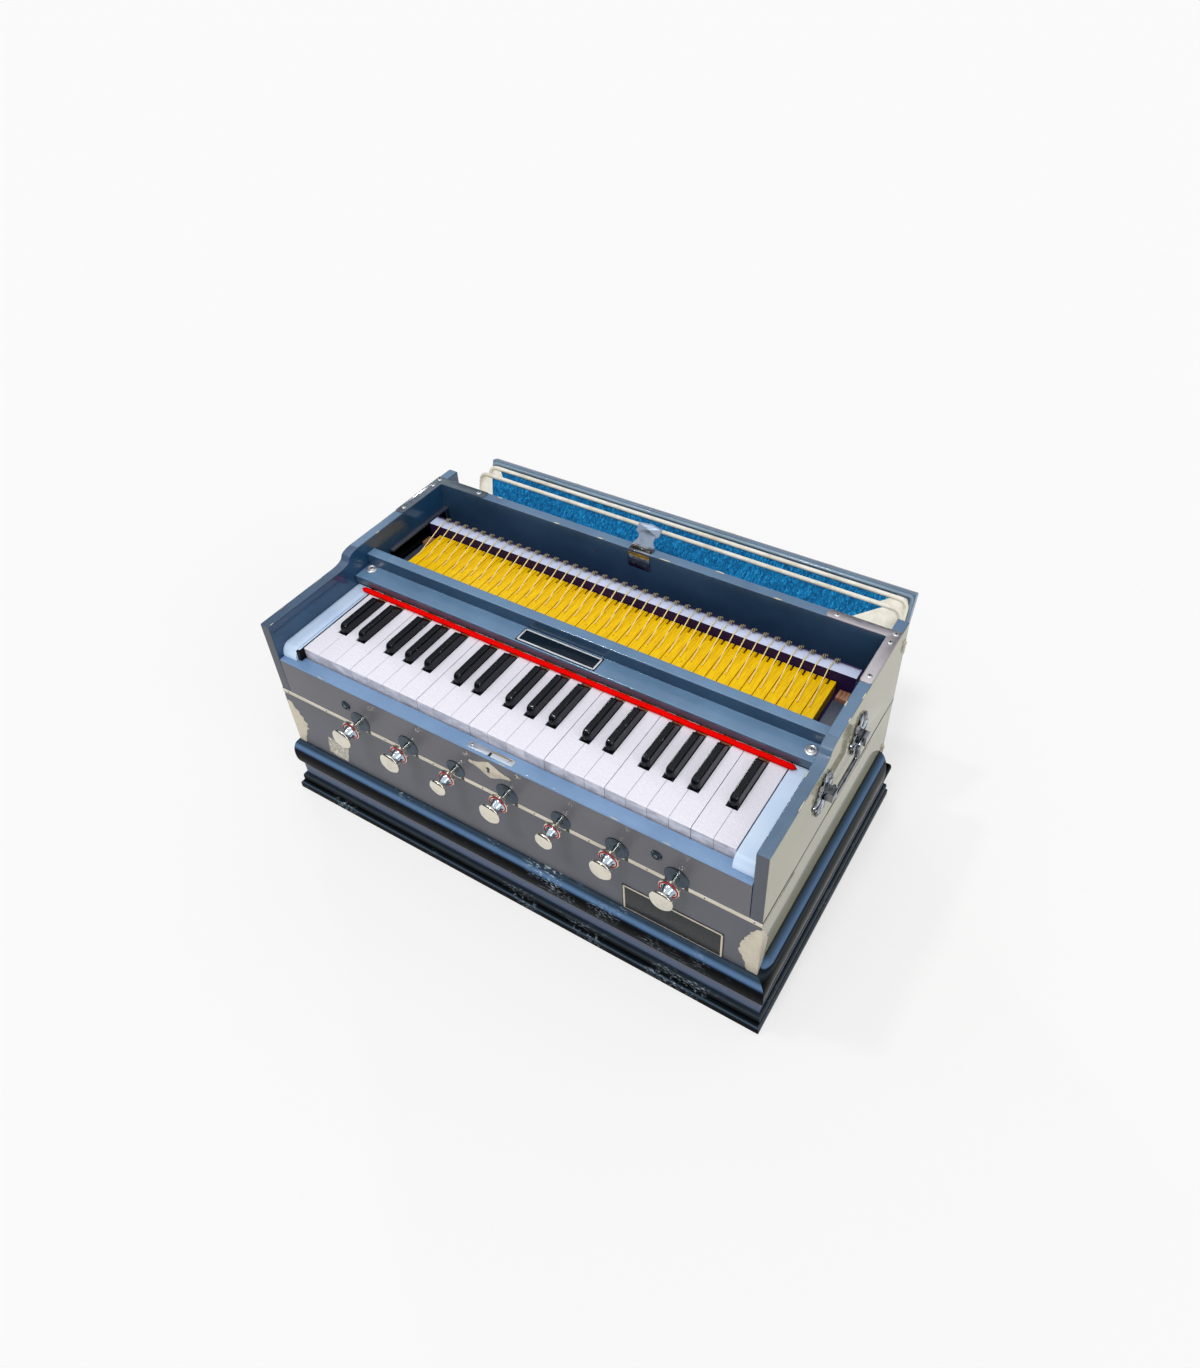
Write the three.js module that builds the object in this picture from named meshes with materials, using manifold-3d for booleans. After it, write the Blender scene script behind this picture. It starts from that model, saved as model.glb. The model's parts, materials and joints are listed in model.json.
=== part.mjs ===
// A hand-pumped table harmonium: a low wooden case on a moulded plinth, with a keyboard of three octaves,
// seven pull stops in the front, sprung pallets in the open well behind the keys, and folding bellows
// that lean away from the back. Millimetres, +X along the keyboard, +Y to the bellows, +Z up.
import * as THREE from 'three';
import { mergeVertices } from 'three/addons/utils/BufferGeometryUtils.js';
import Module from 'manifold-3d';

const wasm = await Module();
wasm.setup();

// Driving dimensions of the case
const case_width = 610;
const case_depth = 332;
const plinth_height = 66.5;
const lower_case_height = 104.2;
const cheek_front_height = 97.2;
const cheek_step_rise = 13;
const cheek_thickness = 13;
const seat_gap = 0.3;
const cut_overrun = 2;
const double_share = 1e-7;
const curve_steps = 4;

// Keyboard
const octave_width_share = 0.26623;
const octave_width = case_width * octave_width_share;
const white_key_count = 23;
const whites_in_octave = 7;
const semitones_in_octave = 12;
const whole_octaves = 3;
const notes_past_octaves = 3;
const semitone_pitch = octave_width / semitones_in_octave;
const white_semitones = [0, 2, 4, 5, 7, 9, 11];
const key_gap = 0.6;
const white_top_rise = 14.5;
const white_key_height = 19.5;
const white_edge_bevel = 1;
const first_tail_offset = 1;
const sharp_setback_share = 0.1205;
const sharp_setback = case_depth * sharp_setback_share;
const sharp_length_share = 0.1913;
const sharp_length = case_depth * sharp_length_share;
const sharp_rise = 11;
const sharp_base_share = 0.8128;
const sharp_base_width = semitone_pitch * sharp_base_share;
const sharp_top_share = 0.606;
const sharp_top_width = semitone_pitch * sharp_top_share;
const sharp_front_slope = 5.5;
const sharp_rear_slope = 6.5;
const sharp_foot_height = 0.8;
const sharp_top_round = 1.2;
const sharp_nose_share = 0.8;
const sharp_side_clearance = 0.8;
const shoulder_clearance = 1.6;
const sharp_lever_share = 0.7833;
const sharp_lever_width = semitone_pitch * sharp_lever_share;
const lever_width_share = 0.8424;
const lever_width = semitone_pitch * lever_width_share;
const lever_thickness = 13;
const lever_top_drop = 1;
const neck_length_share = 0.3506;
const neck_length = case_depth * neck_length_share;
const pivot_setback_share = 0.3928;
const pivot_setback = case_depth * pivot_setback_share;
const key_dip = 8;
const key_dip_clearance = 0.9;
const pallet_setback_share = 0.5193;
const pallet_setback = case_depth * pallet_setback_share;
const pallet_length_share = 0.1943;
const pallet_length = case_depth * pallet_length_share;
const pallet_width_share = 0.9237;
const pallet_width = semitone_pitch * pallet_width_share;
const pallet_height = 13.6;
const pallet_top_rise = 3.5;
const pallet_slit_width = 1.2;
const pallet_slit_length = 8;
const pallet_slit_offset = -1.3;

// Front rail
const rail_height = 50.7;
const rail_depth = 16.4;
const rail_end_gap = 0.6;
const rail_key_clearance = 1.2;
const rail_edge_round = 1.5;

// Name board
const name_board_front_share = 0.3961;
const name_board_front = case_depth * name_board_front_share;
const name_board_depth = 38.5;
const name_board_thickness = 10.1;
const name_board_lift = 4.2;
const raised_rail_thickness = 13.8;
const raised_rail_rise = 15.7;
const raised_rail_bevel = 1;

// Rear panel, lower case walls and ledges
const rear_recess = 20;
const panel_thickness = 13;
const lower_front_thickness = 12;
const floor_thickness = 8;
const cheek_step_start = 112;
const cheek_step_length = 34;
const ledge_width = 10;
const ledge_setback = 20;

// Sound board, which carries the pivots, the pallet seats, the reeds and the end blocks
const sound_board_thickness = 12;
const valve_board_thickness = 14;
const valve_board_setback = 1.5;
const board_leg_thickness = 14;
const board_rear_gap = 0.5;
const ridge_base_width = 12;
const ridge_top_width = 4;
const slot_width = 3.6;
const slot_inset = 7;
const slot_length = pallet_length - 2 * slot_inset;
const reed_plate_share = 0.739;
const reed_plate_width = semitone_pitch * reed_plate_share;
const reed_plate_margin = 3;
const reed_plate_length = slot_length + 2 * reed_plate_margin;
const reed_plate_thickness = 2;
const reed_plate_bite = 0.5;
const block_overhang = 15;
const block_round = 14;
const left_block_gap = 5;
const right_block_gap = 1;

// Spring rail and springs
const spring_rail_gap = 1.2;
const spring_rail_depth = 15.5;
const spring_rail_height = 26.2;
const spring_rail_end_gap = 11;
const spring_wire = 1.1;
const spring_coil_radius = 2.4;
const spring_turns = 2;
const spring_turn_gap = 0.5;
const spring_coil_inset = 2.9;
const spring_reach_share = 0.1867;
const spring_reach = case_depth * spring_reach_share;
const spring_toe_length = 3;
const spring_toe_rise = 1.2;
const spring_leg_shift = 4.6;
const spring_toe_shift = 3;
const spring_rod_radius = 1.2;
const spring_rod_end_gap = 1;
const wire_sides = 5;
const steps_in_turn = 8;
const gap_samples = 400;

// Stops
const stop_rod_clearance = 0.4;
const stop_rise = 7.2;
const stop_rod_radius = 3.2;
const stop_rod_inside = 44;
const stop_valve_radius = 6;
const stop_valve_thickness = 6;
const stop_neck_out = 12.5;
const stop_flange_thickness = 3.5;
const stop_waist_length = 9;
const stop_throat_length = 3;
const stop_cap_length = 6;
const stop_cap_dome = 1.5;
const stop_dome_share = 2 / 3;
const stop_sides = 16;
const large_stop = { cap_radius: 12.8, flange_radius: 11.5, waist_radius: 5.4, collar_radius: 8.4 };
const small_stop = { cap_radius: 10.4, flange_radius: 9.8, waist_radius: 4.6, collar_radius: 6.8 };
const stop_width_shares = [-0.298, -0.1855, -0.0785, 0.0308, 0.1392, 0.2462, 0.3544];
const stop_sizes = [large_stop, large_stop, small_stop, large_stop, small_stop, large_stop, large_stop];

// Plinth moulding: how far each member stands out from the case, and the height of each member
const foot_out = 12.8;
const foot_height = 10;
const foot_round = 3;
const bead_out = 8.8;
const bead_base_out = 7;
const bead_height = 13;
const cove_out = 4;
const cove_height = 20;
const torus_out = 8;
const torus_neck_out = 3;
const torus_height = 19;
const torus_steps = 6;
const plinth_wall = 26;
const plinth_floor = 12;

// Bellows
const bellows_axis_height = 77;
const bellows_axis_gap = 0.5;
const bellows_open_angle = THREE.MathUtils.degToRad(20.5);
const fold_top_share = 0.965;
const board_side_gap = 1.5;
const board_thickness = 12;
const board_length = 198;
const board_foot_gap = 2;
const board_edge_bevel = 2;
const fold_side_gap = 5;
const fold_pleat_depth = 20;
const fold_case_inset = 3;
const fold_case_top = 185;
const fold_foot = 6;
const fold_pleat_foot = 3;

// Inner reservoir
const reservoir_side_gap = 22;
const reservoir_front_gap = 28;
const reservoir_thickness = 10;
const reservoir_rear_gap = 9;

// Latch clip on the rear panel
const clip_width = 28;
const clip_waist_width = 17;
const clip_sheet = 1.4;
const clip_barrel_radius = 2.2;
const clip_stem_run = 11;
const clip_stem_rise = 13;
const clip_head_run = 8;
const clip_head_rise = 9;
const clip_waist_start_share = 0.16;
const clip_waist_end_share = 0.5;
const clip_head_start_share = 0.66;

// Handles
const handle_plate_width = 44;
const handle_plate_height = 58;
const handle_plate_thickness = 2.5;
const handle_plate_centre = 118;
const handle_plate_pitch = 88;
const handle_plate_corner = 13;
const handle_centre_height = 232;
const handle_boss_size = 11;
const handle_boss_out = 11.5;
const handle_boss_inset = 3;
const bail_radius = 2.6;
const bail_drop = 18;
const bail_stub = 6;
const bail_bend = 4;
const bail_out = 7;
const bail_sides = 8;
const bend_steps = 3;

// Levels and planes worked out from the driving dimensions
const half_width = case_width / 2;
const inner_half_width = half_width - cheek_thickness;
const spring_rail_length = 2 * (inner_half_width - spring_rail_end_gap);
const spring_rod_length = spring_rail_length - 2 * spring_rod_end_gap;
const board_half_width = inner_half_width - board_side_gap;
const fold_half_width = inner_half_width - fold_side_gap;
const fold_case_half_width = fold_half_width - fold_case_inset;
const reservoir_half_width = inner_half_width - reservoir_side_gap;
const lower_case_bottom = plinth_height + seat_gap;
const parting_height = lower_case_bottom + lower_case_height;
const upper_bottom = parting_height + seat_gap;
const cheek_front_top = upper_bottom + cheek_front_height;
const cheek_rear_top = cheek_front_top + cheek_step_rise;
const panel_rear = case_depth - rear_recess;
const panel_front = panel_rear - panel_thickness;
const rail_top = upper_bottom + rail_height;
const white_pitch = octave_width / whites_in_octave;
const key_span_start = -white_pitch * white_key_count / 2;
const key_front = rail_depth + rail_key_clearance;
const white_top = rail_top + white_top_rise;
const white_bottom = white_top - white_key_height;
const lever_top = white_top - lever_top_drop;
const lever_bottom = lever_top - lever_thickness;
const pivot_y = key_front + pivot_setback;
const pallet_front = key_front + pallet_setback;
const pallet_rear = pallet_front + pallet_length;
const pallet_top = white_top + pallet_top_rise;
const pallet_bottom = pallet_top - pallet_height;
const valve_board_top = pallet_bottom - seat_gap;
const sound_board_top = white_bottom - key_dip - key_dip_clearance;
const sound_board_bottom = sound_board_top - sound_board_thickness;
const ledge_top = sound_board_bottom - seat_gap;

// Builds a closed solid from a three.js geometry by welding its corners
function to_solid(geometry) {
  const bare = geometry.index ? geometry.toNonIndexed() : geometry.clone();
  bare.deleteAttribute('normal');
  bare.deleteAttribute('uv');
  const welded = mergeVertices(bare);
  const corners = welded.index.array;
  const kept = [];
  for (let i = 0; i < corners.length; i += 3) {
    const [a, b, c] = [corners[i], corners[i + 1], corners[i + 2]];
    if (a !== b && b !== c && c !== a) kept.push(a, b, c);
  }
  return new wasm.Manifold(new wasm.Mesh({
    numProp: 3,
    vertProperties: welded.attributes.position.array,
    triVerts: new Uint32Array(kept),
  }));
}

// Turns a solid back into a geometry
function to_geometry(solid) {
  const mesh = solid.getMesh();
  const geometry = new THREE.BufferGeometry();
  geometry.setAttribute('position', new THREE.BufferAttribute(mesh.vertProperties, mesh.numProp));
  geometry.setIndex(new THREE.BufferAttribute(mesh.triVerts, 1));
  geometry.computeVertexNormals();
  return geometry;
}

function join(first, ...others) {
  return others.reduce((whole, other) => whole.add(to_solid(other)), to_solid(first));
}

function cut(solid, cutters) {
  return cutters.reduce((whole, cutter) => whole.subtract(to_solid(cutter)), solid);
}

// Simple shapes by their limits along each axis
function block([x_low, x_high], [y_low, y_high], [z_low, z_high]) {
  const geometry = new THREE.BoxGeometry(x_high - x_low, y_high - y_low, z_high - z_low);
  geometry.translate((x_low + x_high) / 2, (y_low + y_high) / 2, (z_low + z_high) / 2);
  return geometry;
}

function outline_shape(outline) {
  return new THREE.Shape(outline.map(([a, b]) => new THREE.Vector2(a, b)));
}

const axis_x = new THREE.Vector3(1, 0, 0);
const axis_y = new THREE.Vector3(0, 1, 0);
const axis_z = new THREE.Vector3(0, 0, 1);

// An outline in Y and Z, drawn out along X
function extrude_x(outline, [x_low, x_high]) {
  const depth = x_high - x_low;
  const geometry = new THREE.ExtrudeGeometry(outline_shape(outline), { depth, bevelEnabled: false });
  geometry.applyMatrix4(new THREE.Matrix4().makeBasis(axis_y, axis_z, axis_x));
  geometry.translate(x_low, 0, 0);
  return geometry;
}

// An outline in X and Z, drawn out along Y
function extrude_y(outline, [y_low, y_high]) {
  const depth = y_high - y_low;
  const geometry = new THREE.ExtrudeGeometry(outline_shape(outline), { depth, bevelEnabled: false });
  geometry.applyMatrix4(new THREE.Matrix4().makeBasis(axis_x, axis_z, axis_y.clone().negate()));
  geometry.translate(0, y_high, 0);
  return geometry;
}

// An outline in X and Y, drawn out along Z
function extrude_z(outline, [z_low, z_high]) {
  const depth = z_high - z_low;
  const geometry = new THREE.ExtrudeGeometry(outline_shape(outline), { depth, bevelEnabled: false });
  geometry.translate(0, 0, z_low);
  return geometry;
}

// A closed skin over a stack of flat rings, which all have the same number of points
function stack_of_rings(rings) {
  const sides = rings[0].length;
  const top = (rings.length - 1) * sides;
  const triangles = [];
  for (let first = 0; first < top; first += sides) {
    for (let side = 0; side < sides; side += 1) {
      const a = first + side;
      const b = first + (side + 1) % sides;
      triangles.push(a, b, b + sides, a, b + sides, a + sides);
    }
  }
  for (let side = 1; side < sides - 1; side += 1) {
    triangles.push(0, side + 1, side);
    triangles.push(top, top + side, top + side + 1);
  }
  const geometry = new THREE.BufferGeometry();
  geometry.setAttribute('position', new THREE.Float32BufferAttribute(rings.flat(2), 3));
  geometry.setIndex(triangles);
  geometry.computeVertexNormals();
  return geometry;
}

// A route through a list of points, with one step from each point to the next
class Route extends THREE.Curve {
  constructor(points) {
    super();
    this.points = points;
    this.steps = points.length - 1;
  }

  getPoint(share) {
    const place = Math.min(Math.max(share, 0), 1) * this.steps;
    const index = Math.min(Math.floor(place), this.steps - 1);
    return this.points[index].clone().lerp(this.points[index + 1], place - index);
  }

  getUtoTmapping(share) {
    return share;
  }
}

// A round tube along a route
function tube(route, radius, sides) {
  const ring = new THREE.Shape();
  for (let i = 0; i < sides; i += 1) {
    const turn = 2 * Math.PI * i / sides;
    const x = radius * Math.cos(turn);
    const y = radius * Math.sin(turn);
    if (i === 0) ring.moveTo(x, y);
    else ring.lineTo(x, y);
  }
  return new THREE.ExtrudeGeometry(ring, { steps: route.steps, bevelEnabled: false, extrudePath: route });
}

// Points on an arc of an ellipse, from one angle to another
function arc_points([centre_a, centre_b], [radius_a, radius_b], [from, to], steps) {
  const points = [];
  for (let i = 0; i <= steps; i += 1) {
    const turn = from + (to - from) * i / steps;
    points.push([centre_a + radius_a * Math.cos(turn), centre_b + radius_b * Math.sin(turn)]);
  }
  return points;
}

const harmonium = new THREE.Group();
const assembly = new THREE.Group();
harmonium.add(assembly);

function add_piece(name, geometry, { color, roughness, metalness = 0 }) {
  const mesh = new THREE.Mesh(geometry, new THREE.MeshStandardMaterial({ color, roughness, metalness }));
  mesh.name = name;
  assembly.add(mesh);
  return mesh;
}

const grey_paint = { color: 0x6b6d72, roughness: 0.45 };
const blue_grey_paint = { color: 0x5e7b99, roughness: 0.4 };
const black_paint = { color: 0x0f161e, roughness: 0.25 };
const soft_wood = { color: 0xb08a60, roughness: 0.7 };
const lavender_paint = { color: 0xc5cef2, roughness: 0.45 };
const brass_wire = { color: 0xb9a56a, roughness: 0.35, metalness: 1 };
const chrome = { color: 0xd8dbe0, roughness: 0.12, metalness: 1 };
const ivory_plastic = { color: 0xeae9f6, roughness: 0.35 };
const ebony_plastic = { color: 0x0a1218, roughness: 0.2 };
const blue_cloth = { color: 0x1068a0, roughness: 0.9 };

// Plinth: a tray with a moulded edge, made as a stack of rectangles and hollowed from above
function moulding_profile() {
  const quarter = Math.PI / 2;
  const bead_bottom = foot_height;
  const cove_bottom = bead_bottom + bead_height;
  const torus_bottom = cove_bottom + cove_height;
  const torus_top = torus_bottom + torus_height;
  const foot_edge = arc_points([foot_out - foot_round, foot_height - foot_round],
    [foot_round, foot_round], [0, quarter], curve_steps / 2);
  const bead_edge = arc_points([bead_base_out, bead_bottom + bead_height / 2],
    [bead_out - bead_base_out, bead_height / 2], [-quarter, quarter], curve_steps);
  const cove_edge = [[cove_out, cove_bottom], [cove_out, torus_bottom]];
  const torus_edge = arc_points([torus_neck_out, torus_bottom + torus_height / 2],
    [torus_out - torus_neck_out, torus_height / 2], [-quarter, quarter], torus_steps);
  return [[foot_out, 0], ...foot_edge, ...bead_edge, ...cove_edge, ...torus_edge,
    [0, torus_top], [0, plinth_height]];
}

function plinth() {
  const rings = moulding_profile().map(([out, z]) => {
    const x = half_width + out;
    return [[-x, -out, z], [x, -out, z], [x, case_depth + out, z], [-x, case_depth + out, z]];
  });
  const hollow = block([plinth_wall - half_width, half_width - plinth_wall],
    [plinth_wall, case_depth - plinth_wall], [plinth_floor, plinth_height + cut_overrun]);
  return to_geometry(cut(to_solid(stack_of_rings(rings)), [hollow]));
}

add_piece('plinth', plinth(), black_paint);

// Lower case: four walls on a floor, with the side walls running on behind the rear wall
function lower_case() {
  const levels = [lower_case_bottom, parting_height];
  const walls = block([-half_width, half_width], [0, panel_rear], levels);
  const left_ear = block([-half_width, -inner_half_width], [panel_front, case_depth], levels);
  const right_ear = block([inner_half_width, half_width], [panel_front, case_depth], levels);
  const hollow = block([-inner_half_width, inner_half_width], [lower_front_thickness, panel_front],
    [lower_case_bottom + floor_thickness, parting_height + cut_overrun]);
  return to_geometry(cut(join(walls, left_ear, right_ear), [hollow]));
}

add_piece('lower_case', lower_case(), grey_paint);

// Upper case: two cheeks with a step in their top edge, the rear panel, the ledges for the sound board,
// and the handle plates with their bosses
function cheek_outline() {
  const step_end = cheek_step_start + cheek_step_length;
  const quarter = Math.PI / 2;
  const radii = [cheek_step_length / 2, cheek_step_rise / 2];
  const hollow_curve = arc_points([cheek_step_start, cheek_front_top + cheek_step_rise / 2],
    radii, [-quarter, 0], curve_steps);
  const round_curve = arc_points([step_end, cheek_front_top + cheek_step_rise / 2],
    radii, [Math.PI, quarter], curve_steps);
  const curves = [...hollow_curve, ...round_curve.slice(1)];
  return [[0, upper_bottom], [case_depth, upper_bottom], [case_depth, cheek_rear_top],
    ...curves.reverse(), [0, cheek_front_top]];
}

function handle_plate(side, y) {
  const half = handle_plate_width / 2;
  const tall = handle_plate_height / 2;
  const z = handle_centre_height;
  const corner = handle_plate_corner;
  const outline = [[y - half, z - tall + corner], [y - half + corner, z - tall],
    [y + half - corner, z - tall], [y + half, z - tall + corner], [y + half, z + tall - corner],
    [y + half - corner, z + tall], [y - half + corner, z + tall], [y - half, z + tall - corner]];
  const face = half_width + handle_plate_thickness;
  const span = [half_width - cut_overrun, face];
  return extrude_x(outline, side > 0 ? span : [-span[1], -span[0]]);
}

const handle_plate_places = [handle_plate_centre, handle_plate_centre + handle_plate_pitch];

function handle_boss(side, y) {
  const span = [half_width, half_width + handle_boss_out];
  const half = handle_boss_size / 2;
  return block(side > 0 ? span : [-span[1], -span[0]], [y - half, y + half],
    [handle_centre_height - half, handle_centre_height + half]);
}

const boss_places = [handle_plate_places[0] + handle_boss_inset, handle_plate_places[1] - handle_boss_inset];

function upper_case() {
  const pieces = [block([-inner_half_width - cut_overrun, inner_half_width + cut_overrun],
    [panel_front, panel_rear], [upper_bottom, cheek_rear_top])];
  [-1, 1].forEach((side) => {
    const cheek = side > 0 ? [inner_half_width, half_width] : [-half_width, -inner_half_width];
    const ledge = side > 0
      ? [inner_half_width - ledge_width, inner_half_width + cut_overrun]
      : [-inner_half_width - cut_overrun, -inner_half_width + ledge_width];
    pieces.push(extrude_x(cheek_outline(), cheek));
    pieces.push(block(ledge, [ledge_setback, panel_front + cut_overrun], [upper_bottom, ledge_top]));
    handle_plate_places.forEach((y) => pieces.push(handle_plate(side, y)));
    boss_places.forEach((y) => pieces.push(handle_boss(side, y)));
  });
  return to_geometry(join(...pieces));
}

add_piece('upper_case', upper_case(), blue_grey_paint);

// Front rail, in front of the keys, with a hole along Y for the rod of each stop
const stop_places = stop_width_shares.map((share) => share * case_width);
const stop_height = parting_height + stop_rise;

function rod_hole(x) {
  const radius = stop_rod_radius + stop_rod_clearance;
  const length = rail_depth + 2 * cut_overrun;
  const hole = new THREE.CylinderGeometry(radius, radius, length, stop_sides);
  hole.translate(x, rail_depth / 2, stop_height);
  return hole;
}

function front_rail() {
  const reach = inner_half_width - rail_end_gap;
  const outline = [[0, upper_bottom], [rail_depth, upper_bottom], [rail_depth, rail_top],
    [rail_edge_round, rail_top], [0, rail_top - rail_edge_round]];
  return to_geometry(cut(to_solid(extrude_x(outline, [-reach, reach])), stop_places.map(rod_hole)));
}

add_piece('front_rail', front_rail(), grey_paint);

// Key places: one tail for each semitone, and a white head for each note of the scale
const note_count = semitones_in_octave * whole_octaves + notes_past_octaves;

function tail_centre(note) {
  return key_span_start + first_tail_offset + (note + 1 / 2) * semitone_pitch;
}

function is_white(note) {
  return white_semitones.includes(note % semitones_in_octave);
}

const notes = Array.from({ length: note_count }, (unused, note) => note);

// Sound board: flat under the keys, and raised behind them to seat the pallets over the reed chambers
function sound_board_outline() {
  const front = ledge_setback;
  const rear = panel_front - board_rear_gap;
  const bottom = sound_board_bottom;
  const valve_under = valve_board_top - valve_board_thickness;
  const valve_front = pallet_front + valve_board_setback;
  const ridge_top = lever_bottom - seat_gap;
  return [[front, bottom], [valve_front + board_leg_thickness, bottom],
    [valve_front + board_leg_thickness, valve_under],
    [rear - board_leg_thickness, valve_under], [rear - board_leg_thickness, bottom], [rear, bottom],
    [rear, valve_board_top], [valve_front, valve_board_top], [valve_front, sound_board_top],
    [pivot_y + ridge_base_width / 2, sound_board_top], [pivot_y + ridge_top_width / 2, ridge_top],
    [pivot_y - ridge_top_width / 2, ridge_top], [pivot_y - ridge_base_width / 2, sound_board_top],
    [front, sound_board_top]];
}

function end_block(side) {
  const inner = -key_span_start + (side > 0 ? right_block_gap : left_block_gap);
  const outer = inner_half_width - seat_gap;
  const nose = key_front - block_overhang;
  const rounded = arc_points([nose + block_round, white_top - block_round], [block_round, block_round],
    [Math.PI / 2, Math.PI], curve_steps);
  const outline = [[nose, rail_top + seat_gap], [ledge_setback, rail_top + seat_gap],
    [ledge_setback, sound_board_top - cut_overrun],
    [key_front + neck_length, sound_board_top - cut_overrun], [key_front + neck_length, white_top],
    ...rounded];
  return extrude_x(outline, side > 0 ? [inner, outer] : [-outer, -inner]);
}

function reed_board() {
  const reach = inner_half_width - seat_gap;
  const slot_front = pallet_front + slot_inset;
  const valve_under = valve_board_top - valve_board_thickness;
  const slots = notes.map((note) => block(
    [tail_centre(note) - slot_width / 2, tail_centre(note) + slot_width / 2],
    [slot_front, slot_front + slot_length],
    [valve_under - reed_plate_bite, valve_board_top + cut_overrun]));
  const plates = notes.map((note) => block(
    [tail_centre(note) - reed_plate_width / 2, tail_centre(note) + reed_plate_width / 2],
    [slot_front - (reed_plate_length - slot_length) / 2, slot_front + (reed_plate_length + slot_length) / 2],
    [valve_under - reed_plate_thickness, valve_under + reed_plate_bite]));
  const board = join(extrude_x(sound_board_outline(), [-reach, reach]), end_block(-1), end_block(1),
    ...plates);
  return to_geometry(cut(board, slots));
}

add_piece('reed_board', reed_board(), soft_wood);

// Name board with its raised rail
function name_board() {
  const reach = inner_half_width - seat_gap;
  const bottom = white_top + name_board_lift;
  const flat = bottom + name_board_thickness;
  const top = flat + raised_rail_rise;
  const rear = name_board_front + name_board_depth;
  const bevel = raised_rail_bevel;
  const rail_front = rear - raised_rail_thickness;
  const outline = [[name_board_front, bottom], [rear, bottom], [rear, top - bevel], [rear - bevel, top],
    [rail_front + bevel, top], [rail_front, top - bevel], [rail_front, flat],
    [name_board_front + bevel, flat], [name_board_front, flat - bevel]];
  return extrude_x(outline, [-reach, reach]);
}

add_piece('name_board', name_board(), blue_grey_paint);

// Spring rail behind the pallets
const spring_rail_front = pallet_rear + spring_rail_gap;
const spring_rail_rear = spring_rail_front + spring_rail_depth;
const spring_rail_bottom = valve_board_top + seat_gap;
const spring_rail_top = spring_rail_bottom + spring_rail_height;
add_piece('spring_rail', block([-spring_rail_length / 2, spring_rail_length / 2],
  [spring_rail_front, spring_rail_rear], [spring_rail_bottom, spring_rail_top]), lavender_paint);

// Key springs: each is one wire, hooked into the rod, with two turns round it, a leg over the rail and an
// arm down to its pallet
const coil_y = spring_rail_rear - spring_coil_inset;
const coil_z = spring_rail_top + seat_gap + spring_coil_radius + spring_wire / 2;
const coil_pitch = spring_wire + spring_turn_gap;

function spring_route(x) {
  const start = x + coil_pitch * spring_turns / 2;
  const toe_z = pallet_top + seat_gap + spring_wire / 2;
  const leg_z = spring_rail_top + seat_gap + spring_wire / 2;
  const points = [new THREE.Vector3(start, coil_y, coil_z)];
  for (let step = 0; step <= spring_turns * steps_in_turn; step += 1) {
    const turn = step / steps_in_turn;
    const angle = Math.PI / 2 + 2 * Math.PI * turn;
    points.push(new THREE.Vector3(start - coil_pitch * turn,
      coil_y - spring_coil_radius * Math.cos(angle), coil_z + spring_coil_radius * Math.sin(angle)));
  }
  points.push(new THREE.Vector3(x - spring_leg_shift, spring_rail_front, leg_z));
  points.push(new THREE.Vector3(x - spring_toe_shift, coil_y - spring_reach + spring_toe_length, toe_z));
  points.push(new THREE.Vector3(x - spring_toe_shift, coil_y - spring_reach, toe_z + spring_toe_rise));
  return new Route(points);
}

// The least room between two stretches of one wire that lie half a turn or more apart along it
function least_gap(route, samples) {
  const points = Array.from({ length: samples + 1 }, (unused, i) => route.getPoint(i / samples));
  const apart = Math.ceil(samples * steps_in_turn / 2 / route.steps);
  let least = Infinity;
  for (let i = 0; i < points.length; i += 1) {
    for (let j = i + apart; j < points.length; j += 1) {
      least = Math.min(least, points[i].distanceTo(points[j]) - spring_wire);
    }
  }
  return least;
}

function key_springs() {
  const rod = new THREE.CylinderGeometry(spring_rod_radius, spring_rod_radius, spring_rod_length,
    steps_in_turn);
  rod.rotateZ(-Math.PI / 2);
  rod.translate(0, coil_y, coil_z);
  const wires = notes.map((note) => tube(spring_route(tail_centre(note)), spring_wire / 2, wire_sides));
  return to_geometry(join(rod, ...wires));
}

const measured_gap = least_gap(spring_route(0), gap_samples);
console.log(`least gap between the turns of a key spring: ${measured_gap.toFixed(2)} mm`);
add_piece('key_springs', key_springs(), brass_wire);

// Each pallet has a slit in its rear end
function pallet_slit(note) {
  const middle = tail_centre(note) + pallet_slit_offset;
  return block([middle - pallet_slit_width / 2, middle + pallet_slit_width / 2],
    [pallet_rear - pallet_slit_length, pallet_rear + cut_overrun],
    [pallet_bottom - cut_overrun, pallet_top + cut_overrun]);
}

// White keys: the head between its neighbours, the neck between the sharps, the lever and the pallet
function neck_limit(note, side, boundary) {
  const neighbour = note + side;
  const has_sharp = neighbour >= 0 && neighbour < note_count && !is_white(neighbour);
  const room = sharp_base_width / 2 + sharp_side_clearance;
  return has_sharp ? tail_centre(neighbour) - side * room : boundary;
}

function white_plan(note, white_index) {
  const left = key_span_start + white_index * white_pitch + key_gap / 2;
  const right = left + white_pitch - key_gap;
  const neck_left = neck_limit(note, -1, left);
  const neck_right = neck_limit(note, 1, right);
  const centre = tail_centre(note);
  const shoulder = key_front + sharp_setback - shoulder_clearance;
  const neck_end = key_front + neck_length;
  return [[left, key_front], [right, key_front], [right, shoulder], [neck_right, shoulder],
    [neck_right, neck_end], [centre + lever_width / 2, neck_end], [centre + lever_width / 2, pallet_front],
    [centre + pallet_width / 2, pallet_front], [centre + pallet_width / 2, pallet_rear],
    [centre - pallet_width / 2, pallet_rear], [centre - pallet_width / 2, pallet_front],
    [centre - lever_width / 2, pallet_front], [centre - lever_width / 2, neck_end],
    [neck_left, neck_end], [neck_left, shoulder], [left, shoulder]];
}

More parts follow.
